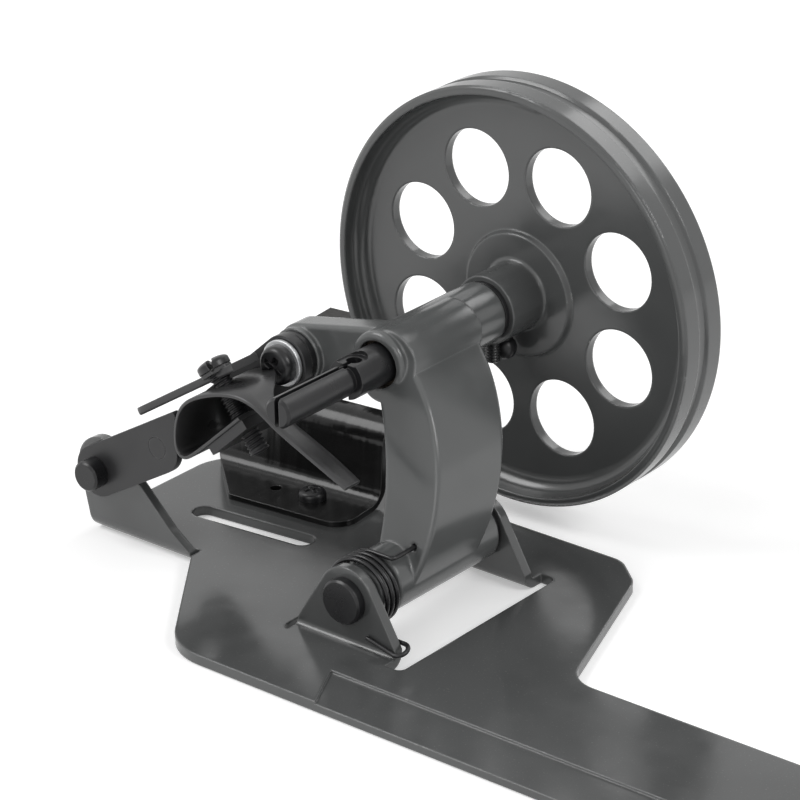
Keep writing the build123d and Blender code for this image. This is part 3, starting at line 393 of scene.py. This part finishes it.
def tube(path, radius, about, along, sides=16):
    """A round wire: each point of the path carries a ring of the given radius. The ring's first
    spoke points away from the coil's axis and is made square to the path; the second is square
    to both. The ring shrinks to a point at both ends, over a rounded tip."""
    heading = np.gradient(path, axis=0)
    heading /= np.linalg.norm(heading, axis=1, keepdims=True)
    spoke = path - about
    spoke = spoke - (spoke @ along)[:, None] * along
    spoke = spoke - (spoke * heading).sum(1, keepdims=True) * heading
    spoke /= np.linalg.norm(spoke, axis=1, keepdims=True)
    other = np.cross(heading, spoke)
    turn = np.linspace(0, 2 * np.pi, sides, endpoint=False)
    cap = np.array((0.0, 0.55, 0.85, 1.0))
    size = np.concatenate([cap, np.ones(len(path)), cap[::-1]]) * radius
    push = np.concatenate([np.sqrt(1 - cap ** 2) * -0.5, np.zeros(len(path)),
                           np.sqrt(1 - cap[::-1] ** 2) * 0.5])
    pick = np.concatenate([np.zeros(4, int), np.arange(len(path)), np.full(4, len(path) - 1)])
    centre = path[pick] + heading[pick] * (push * radius)[:, None]
    ring = (np.cos(turn)[None, :, None] * spoke[pick][:, None]
            + np.sin(turn)[None, :, None] * other[pick][:, None])
    return centre[:, None] + ring * size[:, None, None]


def skin(name, grid, material, body, slot, *stands_for, sharp=35.0):
    """A closed piece from a grid of points in millimetres whose rows are rings: a quad for each cell."""
    rows, sides = grid.shape[:2]
    here = np.arange(rows * sides).reshape(rows, sides)
    beside = np.roll(here, -1, axis=1)
    quads = np.stack([here[:-1], beside[:-1], beside[1:], here[1:]], axis=-1).reshape(-1, 4)
    mesh = bpy.data.meshes.new(name)
    mesh.from_pydata((grid.reshape(-1, 3) * MM).tolist(), [], quads.tolist())
    shell = bmesh.new()
    shell.from_mesh(mesh)
    bmesh.ops.remove_doubles(shell, verts=shell.verts, dist=1e-7)
    bmesh.ops.dissolve_degenerate(shell, edges=shell.edges, dist=1e-8)
    bmesh.ops.recalc_face_normals(shell, faces=shell.faces)
    shell.to_mesh(mesh)
    shell.free()
    mesh.shade_smooth()
    mesh.set_sharp_from_angle(angle=np.radians(sharp))
    mesh.materials.append(material)
    piece = bpy.data.objects.new(name, mesh)
    bpy.context.scene.collection.objects.link(piece)
    if body:
        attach(piece, body)
    if stands_for:
        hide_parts(*stands_for)
    return piece


turn = -np.pi / 2 - np.linspace(0, 2 * np.pi * SPRING_TURNS, int(56 * SPRING_TURNS))
rise = np.linspace(0, SPRING_PITCH * SPRING_TURNS, len(turn))
coil = np.stack([SPRING_ABOUT[0] + SPRING_COIL * np.cos(turn), SPRING_FRONT + rise,
                 SPRING_ABOUT[2] + SPRING_COIL * np.sin(turn)], axis=1)
bend = np.linspace(0, np.pi / 2, 9)
corner_x, corner_r = SPRING_CORNER
leg_y, leg_z = coil[-1][1:]
into_arm = np.stack([corner_x - corner_r + corner_r * np.sin(bend), leg_y + corner_r * (1 - np.cos(bend)),
                     np.full(9, leg_z)], axis=1)
arm_end = np.array([(corner_x, y, leg_z) for y in np.linspace(leg_y + corner_r, SPRING_IN_ARM, 8)[1:]])
hook_x, hook_r = SPRING_HOOK
bend = np.linspace(np.pi, 0, 21)
sweep = (1 + np.cos(bend)) / 2
foot_z = coil[0][2]
hook = np.stack([hook_x + hook_r * np.sin(bend), SPRING_EAR_SIDE + (SPRING_FRONT - SPRING_EAR_SIDE) * sweep,
                 SPRING_HOOK_Z + (foot_z - SPRING_HOOK_Z) * sweep], axis=1)
tip = np.linspace(SPRING_TIP, hook[0], 9)[:-1]
foot = np.linspace(hook[-1], coil[0], 12)[1:-1]
leg = np.linspace(coil[-1], into_arm[0], 6)[1:-1]
wire = np.concatenate([tip, hook, foot, coil, leg, into_arm, arm_end])
wire_steel = steel("spring_wire", BLACK, BLACK_RUB, 0.22, radius=0.1 * MM, marks=0.2)
return_spring = skin("return_spring_wire", tube(wire, SPRING_WIRE, SPRING_ABOUT, ALONG_Y), wire_steel,
                     None, "black_oxide", "return_spring")
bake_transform(return_spring)

# ---------------------------------------------------------------- hub screws
# Two black screws come up into the wheel's hub: a set screw that still stands out by its thread, and
# a ball-headed one that is turned by a slot. Both are cut from steel wire and blackened.

SCREW_SIDES = 72
around = np.linspace(0, 2 * np.pi, SCREW_SIDES, endpoint=False)[None, :]
THREAD_PITCH = 0.6
THREAD_DEPTH = 0.17
HUB_SCREW_R = 1.5
BALL_NECK = 0.80
BALL_SHANK_ROWS = 24
BALL_SLOT = (0.6, 0.9)
BALL_SLOT_ROWS = (52, 68)


def turned(heights, radii, at, along, start):
    """A turned piece: at each height along its axis a ring of that height's radius. Heights and
    radii are columns, or grids that also vary round the axis, as a thread or a cut does."""
    along = np.asarray(along, float)
    first = np.cross(along, start)
    first /= np.linalg.norm(first)
    second = np.cross(along, first)
    heights, radii = np.broadcast_arrays(heights, radii + 0 * around)
    spoke = np.cos(around)[..., None] * first + np.sin(around)[..., None] * second
    return np.asarray(at, float) + heights[..., None] * along + radii[..., None] * spoke


def thread(heights, radius, low, high, pitch=THREAD_PITCH, depth=THREAD_DEPTH):
    """Radius of a screw thread: a ridge that climbs one pitch for each turn, cut into the bar by
    the thread's depth and fading out at both ends of the threaded length."""
    climb = heights / pitch - around / (2 * np.pi)
    ridge = np.abs(2 * (climb - np.floor(climb)) - 1)
    fade = np.clip(np.minimum(heights - low, high - heights) / pitch, 0, 1)
    return radius - depth * (1 - np.clip(1.6 * ridge - 0.3, 0, 1)) * fade


def column(*values):
    return np.concatenate([np.atleast_1d(v) for v in values]).astype(float)[:, None]


def slotted(heights, radii, wide, deep, start_row, stop_row):
    """Sink a straight slot into the rows of a screw's crown."""
    across = radii * np.sin(around)
    inside = np.clip((wide / 2 - np.abs(across)) / 0.08 + 0.5, 0, 1)
    rows = np.arange(len(heights))[:, None]
    return heights - deep * inside * ((rows >= start_row) & (rows <= stop_row))


set_low, set_high = (np.array(c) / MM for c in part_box("set_screw"))
set_at = ((set_low[0] + set_high[0]) / 2, (set_low[1] + set_high[1]) / 2, set_high[2])
set_long = set_high[2] - set_low[2]
body_h = np.linspace(0.02, set_long - 0.25, 90)
heights = column(0.02, body_h, set_long, set_long)
set_thread = thread(body_h[:, None], HUB_SCREW_R, 0.3, set_long - 0.3)
radii = np.concatenate([np.zeros((1, SCREW_SIDES)), set_thread,
                        np.full((1, SCREW_SIDES), 1.2), np.zeros((1, SCREW_SIDES))])
skin("hub_set_screw", turned(heights, radii, set_at, (0, 0, -1), (0, 1, 0)), black_steel,
     "spindle", "black_oxide", "set_screw")

ball_low, ball_high = (np.array(c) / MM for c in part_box("dome_screw"))
ball_r = (ball_high[0] - ball_low[0]) / 2
ball_at = ((ball_low[0] + ball_high[0]) / 2, (ball_low[1] + ball_high[1]) / 2, ball_high[2])
ball_mid = ball_high[2] - ball_low[2] - ball_r
shank_h = np.linspace(0.02, ball_mid - ball_r * BALL_NECK, BALL_SHANK_ROWS)
polar = np.linspace(np.arccos(BALL_NECK), np.pi, 44)
heights = column(0.02, shank_h, ball_mid - ball_r * np.cos(polar))
radii = column(0.0, np.full(BALL_SHANK_ROWS, HUB_SCREW_R), ball_r * np.sin(polar)) + 0 * around
radii[1:BALL_SHANK_ROWS + 1] = thread(shank_h[:, None], HUB_SCREW_R, 0.2, ball_mid)
heights = slotted(heights + 0 * around, radii, *BALL_SLOT, *BALL_SLOT_ROWS)
skin("hub_ball_screw", turned(heights, radii, ball_at, (0, 0, -1), (1, 0, 0)), black_steel,
     "spindle", "black_oxide", "dome_screw")

# ---------------------------------------------------------------- toggle latch
# Two pressed links and their rivets: the lower one turns on a headed stud in the base's ear, the
# upper one on the lever's screw. Pushed past straight they hold the wheel against the belt.

LINK_BLACK = (0.019, 0.019, 0.020, 1)
LINK_RUB = (0.12, 0.12, 0.12, 1)

link_steel = steel("link_steel", LINK_BLACK, LINK_RUB, 0.30, radius=0.3 * MM, marks=0.3)
dress(link_steel, "lower_link", "upper_link", "knee_pin")
dress(black_steel, "latch_stud", "knee_sleeve", "link_spacer")

# ---------------------------------------------------------------- link screw
# A black pan-head screw with a cross recess holds the upper link to the casting's lever. A bright
# zinc washer sits under its head. The screw is cold headed, the recess punched.

ZINC = (0.80, 0.81, 0.82, 1)
ZINC_RUB = (0.80, 0.80, 0.80, 1)
RECESS_REACH = 2.35
RECESS_WIDE = 1.2
RECESS_DEEP = 1.35
RECESS_TURN = 0.45
CROWN_SHARE = 0.72
CROWN_ROWS = 46
RIM_ROWS = 12
SHANK_ROWS = 60
LINK_HEAD_R = 3.9
LINK_SHANK_R = 2.0


def cross_recess(radii, scale=1.0):
    """Depth of a cross recess: two crossed arms with leaning walls, deepest in the middle."""
    x, y = radii * np.cos(around + RECESS_TURN), radii * np.sin(around + RECESS_TURN)
    reach, half = RECESS_REACH * scale, RECESS_WIDE * scale / 2
    arm_x = np.clip((half - np.abs(x)) / 0.12 + 0.5, 0, 1) * np.clip((reach - np.abs(y)) / 0.3, 0, 1)
    arm_y = np.clip((half - np.abs(y)) / 0.12 + 0.5, 0, 1) * np.clip((reach - np.abs(x)) / 0.3, 0, 1)
    return RECESS_DEEP * scale * np.maximum(arm_x, arm_y) * (1 - 0.45 * np.clip(radii / reach, 0, 1))


def pan_screw(name, head_r, head_h, shank_r, shank, at, along, material, body, slot, *stands_for):
    """A pan-head screw: a flat crown with the recess sunk in it, a rounded rim, and a threaded
    shank. Along points out of the head and at lies under it."""
    crown = np.linspace(0, head_r * CROWN_SHARE, CROWN_ROWS)
    rim = np.linspace(0, np.pi / 2, RIM_ROWS)
    rim_r = head_r * CROWN_SHARE + head_r * (1 - CROWN_SHARE) * np.sin(rim)
    rim_h = head_h * (0.42 + 0.50 * np.cos(rim))
    shank_h = np.linspace(0.0, -shank, SHANK_ROWS)
    radii = column(crown, rim_r[1:], head_r, shank_r, np.full(SHANK_ROWS - 1, shank_r), 0.0) + 0 * around
    domed = head_h * (1 - 0.08 * (crown / crown[-1]) ** 2)
    heights = column(domed, rim_h[1:], 0.0, 0.0, shank_h[1:], -shank)
    heights = heights + 0 * around
    heights[:CROWN_ROWS] -= cross_recess(radii[:CROWN_ROWS], head_r / 4.0)
    first = CROWN_ROWS + RIM_ROWS + 1
    radii[first:first + SHANK_ROWS - 1] = thread(-shank_h[1:, None], shank_r, 1.0, shank)
    grid = turned(heights, radii, at, along, (0.0, 0.3, 1.0) if abs(along[2]) < 0.5 else (1.0, 0.0, 0.0))
    return skin(name, grid, material, body, slot, *stands_for)


screw_low, screw_high = (np.array(c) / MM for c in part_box("link_screw"))
washer_low = np.array(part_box("link_washer")[0]) / MM
link_at = ((screw_low[0] + screw_high[0]) / 2, washer_low[1], (screw_low[2] + screw_high[2]) / 2)
pan_screw("link_pan_screw", LINK_HEAD_R, washer_low[1] - screw_low[1], LINK_SHANK_R,
          screw_high[1] - washer_low[1], link_at, (0, -1, 0), black_steel,
          "swing_arm", "black_oxide", "link_screw")
zinc = steel("bright_zinc", ZINC, ZINC_RUB, 0.34, metal=1.0, marks=0.2, ior=1.5)
dress(zinc, "link_washer")

# ---------------------------------------------------------------- feeler
# A strip of blued spring steel, bent into a leaf, a loop and a finger that lies in the bobbin. As the
# bobbin fills, the thread pushes the finger up until the latch is past its dead point and drops.

LEAF_BLACK = (0.045, 0.045, 0.046, 1)
LEAF_RUB = (0.26, 0.26, 0.26, 1)
THUMB_BLACK = (0.035, 0.035, 0.036, 1)

leaf_steel = steel("leaf_steel", LEAF_BLACK, LEAF_RUB, 0.26,
                   radius=0.15 * MM, metal=0.35, marks=0.15, ior=1.6)
thumb_steel = steel("thumb_steel", THUMB_BLACK, LEAF_RUB, 0.34, radius=0.2 * MM, marks=0.3)
LEAF_THICK = 0.8
LEAF_FRONT = 9.0
LEAF_LINE = np.array([
    (-17.98, 37.79), (-24.5, 31.98), (-30.6, 26.5), (-33.4, 24.9), (-35.1, 26.6), (-35.0, 30.6),
    (-34.0, 34.6), (-31.6, 37.6), (-27.6, 39.7), (-22.6, 41.5), (-17.9, 42.2), (-13.6, 41.2),
    (-10.2, 38.8), (-5.6, 36.6), (1.4, 33.6), (8.0, 30.7)])
LEAF_BACK = np.array([
    24.0, 24.0, 24.0, 24.0, 24.6, 25.0, 25.2, 25.2, 25.2, 25.0, 20.0, 13.4, 13.4, 13.8, 13.9, 13.3])
LEAF_STEPS = 260
STRIP_CHAMFER = 0.25
STRIP_SHOULDER = 0.72


def smooth_line(points, count):
    """A curve that follows its control points smoothly: a cubic B-spline with its end points
    repeated, as columns of numbers, each at the same steps along the curve."""
    padded = np.concatenate([points[:1], points[:1], points, points[-1:], points[-1:]])
    spans = len(padded) - 3
    place = np.linspace(0, spans - 1e-9, count)
    i = place.astype(int)
    t = (place - i)[:, None]
    weights = [(1 - t) ** 3, 3 * t ** 3 - 6 * t ** 2 + 4,
               -3 * t ** 3 + 3 * t ** 2 + 3 * t + 1, t ** 3]
    return sum(w * padded[i + k] for k, w in enumerate(weights)) / 6


def strip(line, front, back, thick):
    """A bent strip: at each point of its line a flat section, thick across the bend and running
    from the front to the back of the strip, with rounded edges. The corners of
    both ends are rounded off, and the ends are closed flat."""
    heading = np.gradient(line, axis=0)
    heading /= np.linalg.norm(heading, axis=1, keepdims=True)
    across = np.stack([-heading[:, 1], heading[:, 0]], axis=1)
    out = STRIP_SHOULDER
    side = np.array([-1, -1, -out, -0.3, 0, 0.3, out, 1, 1, 1, out, 0.3, 0, -0.3, -out, -1.0])
    lift = np.array([-0.4, 0.4, 1, 1, 1, 1, 1, 0.4, 0, -0.4, -1, -1, -1, -1, -1, -0.6])
    middle, half = (front + back) / 2, (back - front) / 2
    inset = np.minimum(half, STRIP_CHAMFER)
    within = (half - inset)[:, None] * side / STRIP_SHOULDER
    wide = np.where(np.abs(side) == 1, half[:, None] * side, within)
    cap = np.array((0.80, 0.92, 0.97, 0.99))
    ends = np.concatenate([cap, np.ones(len(line) - 8), cap[::-1]])
    y = middle[:, None] + wide * ends[:, None]
    x, z = (line[:, k, None] + across[:, k, None] * lift * thick / 2 for k in (0, 1))
    rings = np.stack([x, y, z], axis=2)
    first, last = (np.repeat(rings[k].mean(0)[None, None], len(side), axis=1) for k in (0, -1))
    return np.concatenate([first, rings, last])


leaf = smooth_line(np.column_stack([LEAF_LINE, LEAF_BACK]), LEAF_STEPS)
leaf_grid = strip(leaf[:, :2], np.full(LEAF_STEPS, LEAF_FRONT), leaf[:, 2], LEAF_THICK)
skin("feeler_strip", leaf_grid, leaf_steel, "upper_link", "black_oxide", "feeler", sharp=50.0)

# ---------------------------------------------------------------- thumb plate
# A flat steel tongue under the adjusting screw's head. Pressed down by the thumb, it snaps the latch
# shut and brings the wheel to the belt. A thin nut locks the screw on it.

THUMB_TURN = np.radians(32.3)
THUMB_AT = np.array((-35.0, 0.0, 37.8))
THUMB_LONG = (-17.4, 12.8)
THUMB_WIDE = (13.5, 22.5)
THUMB_THICK = 1.6
THUMB_STEPS = 40

run = np.linspace(*THUMB_LONG, THUMB_STEPS)
thumb_line = np.stack([THUMB_AT[0] + run * np.cos(THUMB_TURN),
                       THUMB_AT[2] + run * np.sin(THUMB_TURN)], axis=1)
thumb_front, thumb_back = (np.full(THUMB_STEPS, y) for y in THUMB_WIDE)
skin("thumb_tongue", strip(thumb_line, thumb_front, thumb_back, THUMB_THICK), thumb_steel,
     "upper_link", "black_oxide", "thumb_plate", sharp=50.0)

# ---------------------------------------------------------------- adjusting screw
# A long black screw goes down through thumb plate, leaf and link. Turned in, it lifts the finger, and
# so sets how full the bobbin gets. Its thread shows inside the loop, and its round head has a slot.

SCREW_LEAN = np.radians(37.0)
SCREW_AT = np.array((-27.3 - 0.4 * np.sin(SCREW_LEAN), 15.0, 40.6 + 0.4 * np.cos(SCREW_LEAN)))
SCREW_UP = (-np.sin(SCREW_LEAN), 0.0, np.cos(SCREW_LEAN))
SCREW_TIP = -15.5
SCREW_NECK = 2.6
SCREW_R = 2.0
SCREW_ROWS = 190
SCREW_PITCH = 0.8
SCREW_DEPTH = 0.32
HEAD_RIM = 0.9
HEAD_SLOT = (1.0, 1.3)
NUT_BORE = 2.05
SCREW_HEAD = (3.3, 2.1)
LOCK_NUT = (3.2, 1.7, 2.5)
SLOT_START = (-0.635, -0.609, -0.476)

head_r, head_h = SCREW_HEAD
bar = np.linspace(SCREW_TIP + 0.3, SCREW_NECK, SCREW_ROWS)
crown = np.linspace(np.pi / 2, 0, 40)
heights = column(SCREW_TIP, SCREW_TIP, bar, SCREW_NECK, SCREW_NECK + HEAD_RIM,
                 SCREW_NECK + HEAD_RIM + (head_h - HEAD_RIM) * np.cos(crown) ** 0.8)
radii = column(0.0, 1.5, np.full(SCREW_ROWS, SCREW_R), head_r, head_r, head_r * np.sin(crown)) + 0 * around
radii[2:SCREW_ROWS + 2] = thread(bar[:, None], SCREW_R, SCREW_TIP + 0.4, SCREW_NECK - 0.2,
                                 pitch=SCREW_PITCH, depth=SCREW_DEPTH)
heights = slotted(heights + 0 * around, radii, *HEAD_SLOT, SCREW_ROWS + 4, len(heights))
skin("fill_screw", turned(heights, radii, SCREW_AT, SCREW_UP, SLOT_START), black_steel,
     "adjusting_screw", "black_oxide", "adjusting_screw")

nut_r, nut_low_h, nut_top_h = LOCK_NUT
flats = np.minimum(nut_r, nut_r * 0.9 / np.cos((around + np.pi / 6) % (np.pi / 3) - np.pi / 6))
heights = column(nut_low_h, nut_low_h, nut_top_h, nut_top_h, nut_low_h)
bore = np.full((1, SCREW_SIDES), NUT_BORE)
radii = np.concatenate([bore, flats, flats, bore, bore])
skin("lock_ring", turned(heights, radii, SCREW_AT, SCREW_UP, (1, 0, 0)), thumb_steel,
     "upper_link", "black_oxide", "lock_nut")

# ---------------------------------------------------------------- wheel rim
# The outside of the wheel casting, as the lathe leaves it under the enamel: two flat lands with a
# narrow groove between them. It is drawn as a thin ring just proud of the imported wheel's rim.

TREAD_R = 43.06
TREAD_Y = (67.35, 78.35)
TREAD_GROOVE = (2.7, 0.75)
SPINDLE_Z = 47.0

tread_mid = sum(TREAD_Y) / 2
groove_wide, groove_deep = TREAD_GROOVE
dip = np.linspace(-1, 1, 15)
land = (TREAD_Y[1] - TREAD_Y[0]) / 2
heights = column(-land, -land + 0.15, -groove_wide / 2 - 0.1, groove_wide / 2 * dip, groove_wide / 2 + 0.1,
                 land - 0.15, land, land, -land, -land)
radii = column(TREAD_R - 0.15, TREAD_R, TREAD_R, TREAD_R - 0.1 - groove_deep * np.sqrt(1.001 - dip ** 2),
               TREAD_R, TREAD_R, TREAD_R - 0.15, TREAD_R - 0.85, TREAD_R - 0.85, TREAD_R - 0.15)
TREAD_SIDES = 240
tread_turn = np.linspace(0, 2 * np.pi, TREAD_SIDES, endpoint=False)[None, :]
tread = np.stack(np.broadcast_arrays(radii * np.sin(tread_turn), tread_mid + heights + 0 * tread_turn,
                                     SPINDLE_Z + radii * np.cos(tread_turn)), axis=2)
skin("wheel_tread", tread, wheel_enamel, "spindle", "grey_paint", sharp=30.0)

# ---------------------------------------------------------------- brake
# A folded bracket of black sheet carries a rubber pad behind the wheel's rim. When the latch drops,
# the wheel falls back on the pad and stops. One screw holds it, and it can be turned to set the gap.

BRACKET_BLACK = (0.006, 0.006, 0.006, 1)
RUBBER = (0.022, 0.021, 0.020, 1)

bracket_paint, tree, shader = finish("bracket_black", {"IOR": 1.42})
edges_worn_and_lit = placed(tree, edge_wear_and_highlight, Radius=0.35 * MM, Gain=2.0, Breakup=0.5, Scale=220.0)
fold_marks = noise(tree, 42.0, 2.0, 0.4, squeeze=(9.0, 0.6, 1.0))
marks = placed(tree, dust_and_nicks, Dust=0.10, Nicks=0.6, Edge=edges_worn_and_lit["Edge"], Scale=420.0)
tone = blend(tree, maths(tree, "MULTIPLY", edges_worn_and_lit["Edge"], 0.7), BRACKET_BLACK, LINK_RUB)
tone = blend(tree, marks["Dust"], tone, DUST)
tree.links.new(tone, shader.inputs["Base Color"])
tree.links.new(spread(tree, noise(tree, 90.0, 3.0), 0.3, 0.7, 0.14, 0.24), shader.inputs["Roughness"])
pressed = lays(tree, "Bump", Strength=0.28, Distance=0.6 * MM, Height=fold_marks, Normal=edges_worn_and_lit["Normal"])
tree.links.new(pressed.outputs[0], shader.inputs["Normal"])
dress(bracket_paint, "brake_bracket")

rubber, tree, shader = finish("brake_rubber", {"IOR": 1.5})
edges_worn_and_lit = placed(tree, edge_wear_and_highlight, Radius=0.4 * MM, Gain=1.5, Breakup=0.6, Scale=300.0)
grain = noise(tree, 1500.0, 3.0, 0.7)
scuffed = blend(tree, maths(tree, "MULTIPLY", edges_worn_and_lit["Edge"], 0.5), RUBBER, (0.07, 0.068, 0.065, 1))
tree.links.new(scuffed, shader.inputs["Base Color"])
tree.links.new(spread(tree, grain, 0.3, 0.7, 0.62, 0.85), shader.inputs["Roughness"])
rough_bump = lays(tree, "Bump", Strength=0.3, Distance=0.1 * MM, Height=grain, Normal=edges_worn_and_lit["Normal"])
tree.links.new(rough_bump.outputs[0], shader.inputs["Normal"])
dress(rubber, "brake_pad")

brake_low, brake_high = (np.array(c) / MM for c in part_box("brake_screw"))
brake_head = (brake_high[0] - brake_low[0]) / 2
brake_at = ((brake_low[0] + brake_high[0]) / 2, (brake_low[1] + brake_high[1]) / 2, brake_high[2] - 2.0)
pan_screw("brake_pan_screw", brake_head, 2.0, 1.5, brake_at[2] - brake_low[2], brake_at, (0, 0, 1),
          black_steel, "base", "black_oxide", "brake_screw")

# ---------------------------------------------------------------- thread tension
# At the arm's end the thread runs through a nickelled eye and between two dished discs. A light
# spring presses them together, and a knurled nut on the threaded post sets how hard.

NICKEL = (0.66, 0.65, 0.62, 1)
NICKEL_RUB = (0.75, 0.74, 0.72, 1)
ALONG_X = np.array((1.0, 0.0, 0.0))
COIL_WIRE = 0.4
COIL_MEAN = 3.6
COIL_TURNS = 4

nickel = steel("nickel_plate", NICKEL, NICKEL_RUB, 0.14, metal=1.0, marks=0.2)
dress(nickel, "inner_disc", "outer_disc", "thread_eye")

post_low, post_high = (np.array(c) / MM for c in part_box("tension_post"))
post_y, post_z = (post_low[1] + post_high[1]) / 2, (post_low[2] + post_high[2]) / 2
post_long = post_high[0] - post_low[0]
HEX_HIGH = 2.4
HEX_R = 3.6
POST_R = 2.0
POST_ROWS = 150
flat = HEX_R * np.cos(np.pi / 6) / np.cos((around + np.pi / 6) % (np.pi / 3) - np.pi / 6)
bar = np.linspace(HEX_HIGH + 2.0, post_long - 0.3, POST_ROWS)
heights = column(0.0, 0.0, 0.25, HEX_HIGH, HEX_HIGH, bar, post_long, post_long)
radii = column(0.0, 0.0, 0.0, 0.0, POST_R, np.full(POST_ROWS, POST_R), 1.7, 0.0) + 0 * around
radii[1] = np.minimum(flat, HEX_R * 0.93)
radii[2] = flat
radii[3] = flat
radii[5:POST_ROWS + 5] = thread(bar[:, None], POST_R, HEX_HIGH + 3.0, post_long - 0.2)
skin("tension_screw", turned(heights, radii, (post_low[0], post_y, post_z), ALONG_X, (0, 1, 0)), zinc,
     "base", "bright_steel", "tension_post", sharp=28.0)

coil_low, coil_high = (np.array(c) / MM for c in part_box("tension_spring"))
turn = np.linspace(0, 2 * np.pi * COIL_TURNS, 48 * COIL_TURNS)
coil_x = np.linspace(coil_low[0] + COIL_WIRE, coil_high[0] - COIL_WIRE, len(turn))
coil = np.stack([coil_x, post_y + COIL_MEAN * np.cos(turn), post_z + COIL_MEAN * np.sin(turn)], axis=1)
post_axis = np.array((0.0, post_y, post_z))
tension_coil = skin("tension_coil", tube(coil, COIL_WIRE, post_axis, ALONG_X), zinc, "base", "bright_steel",
                    "tension_spring")
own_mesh(tension_coil)

nut_low, nut_high = (np.array(c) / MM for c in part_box("tension_nut"))
KNURLS = 24
nut_r = (nut_high[1] - nut_low[1]) / 2
nut_long = nut_high[0] - nut_low[0]
bite = 0.22 * np.clip(1.4 * np.cos(KNURLS * around) - 0.2, 0, 1)
heights = column(0.0, 0.0, 0.5, nut_long - 0.5, nut_long, nut_long, 0.0)
radii = column(2.05, nut_r - 0.6, nut_r, nut_r, nut_r - 0.6, 2.05, 2.05) + 0 * around
radii[2:4] -= bite
skin("tension_knob", turned(heights, radii, (nut_low[0], post_y, post_z), ALONG_X, (0, 1, 0)), nickel,
     "tension_nut", "chrome", "tension_nut", sharp=28.0)
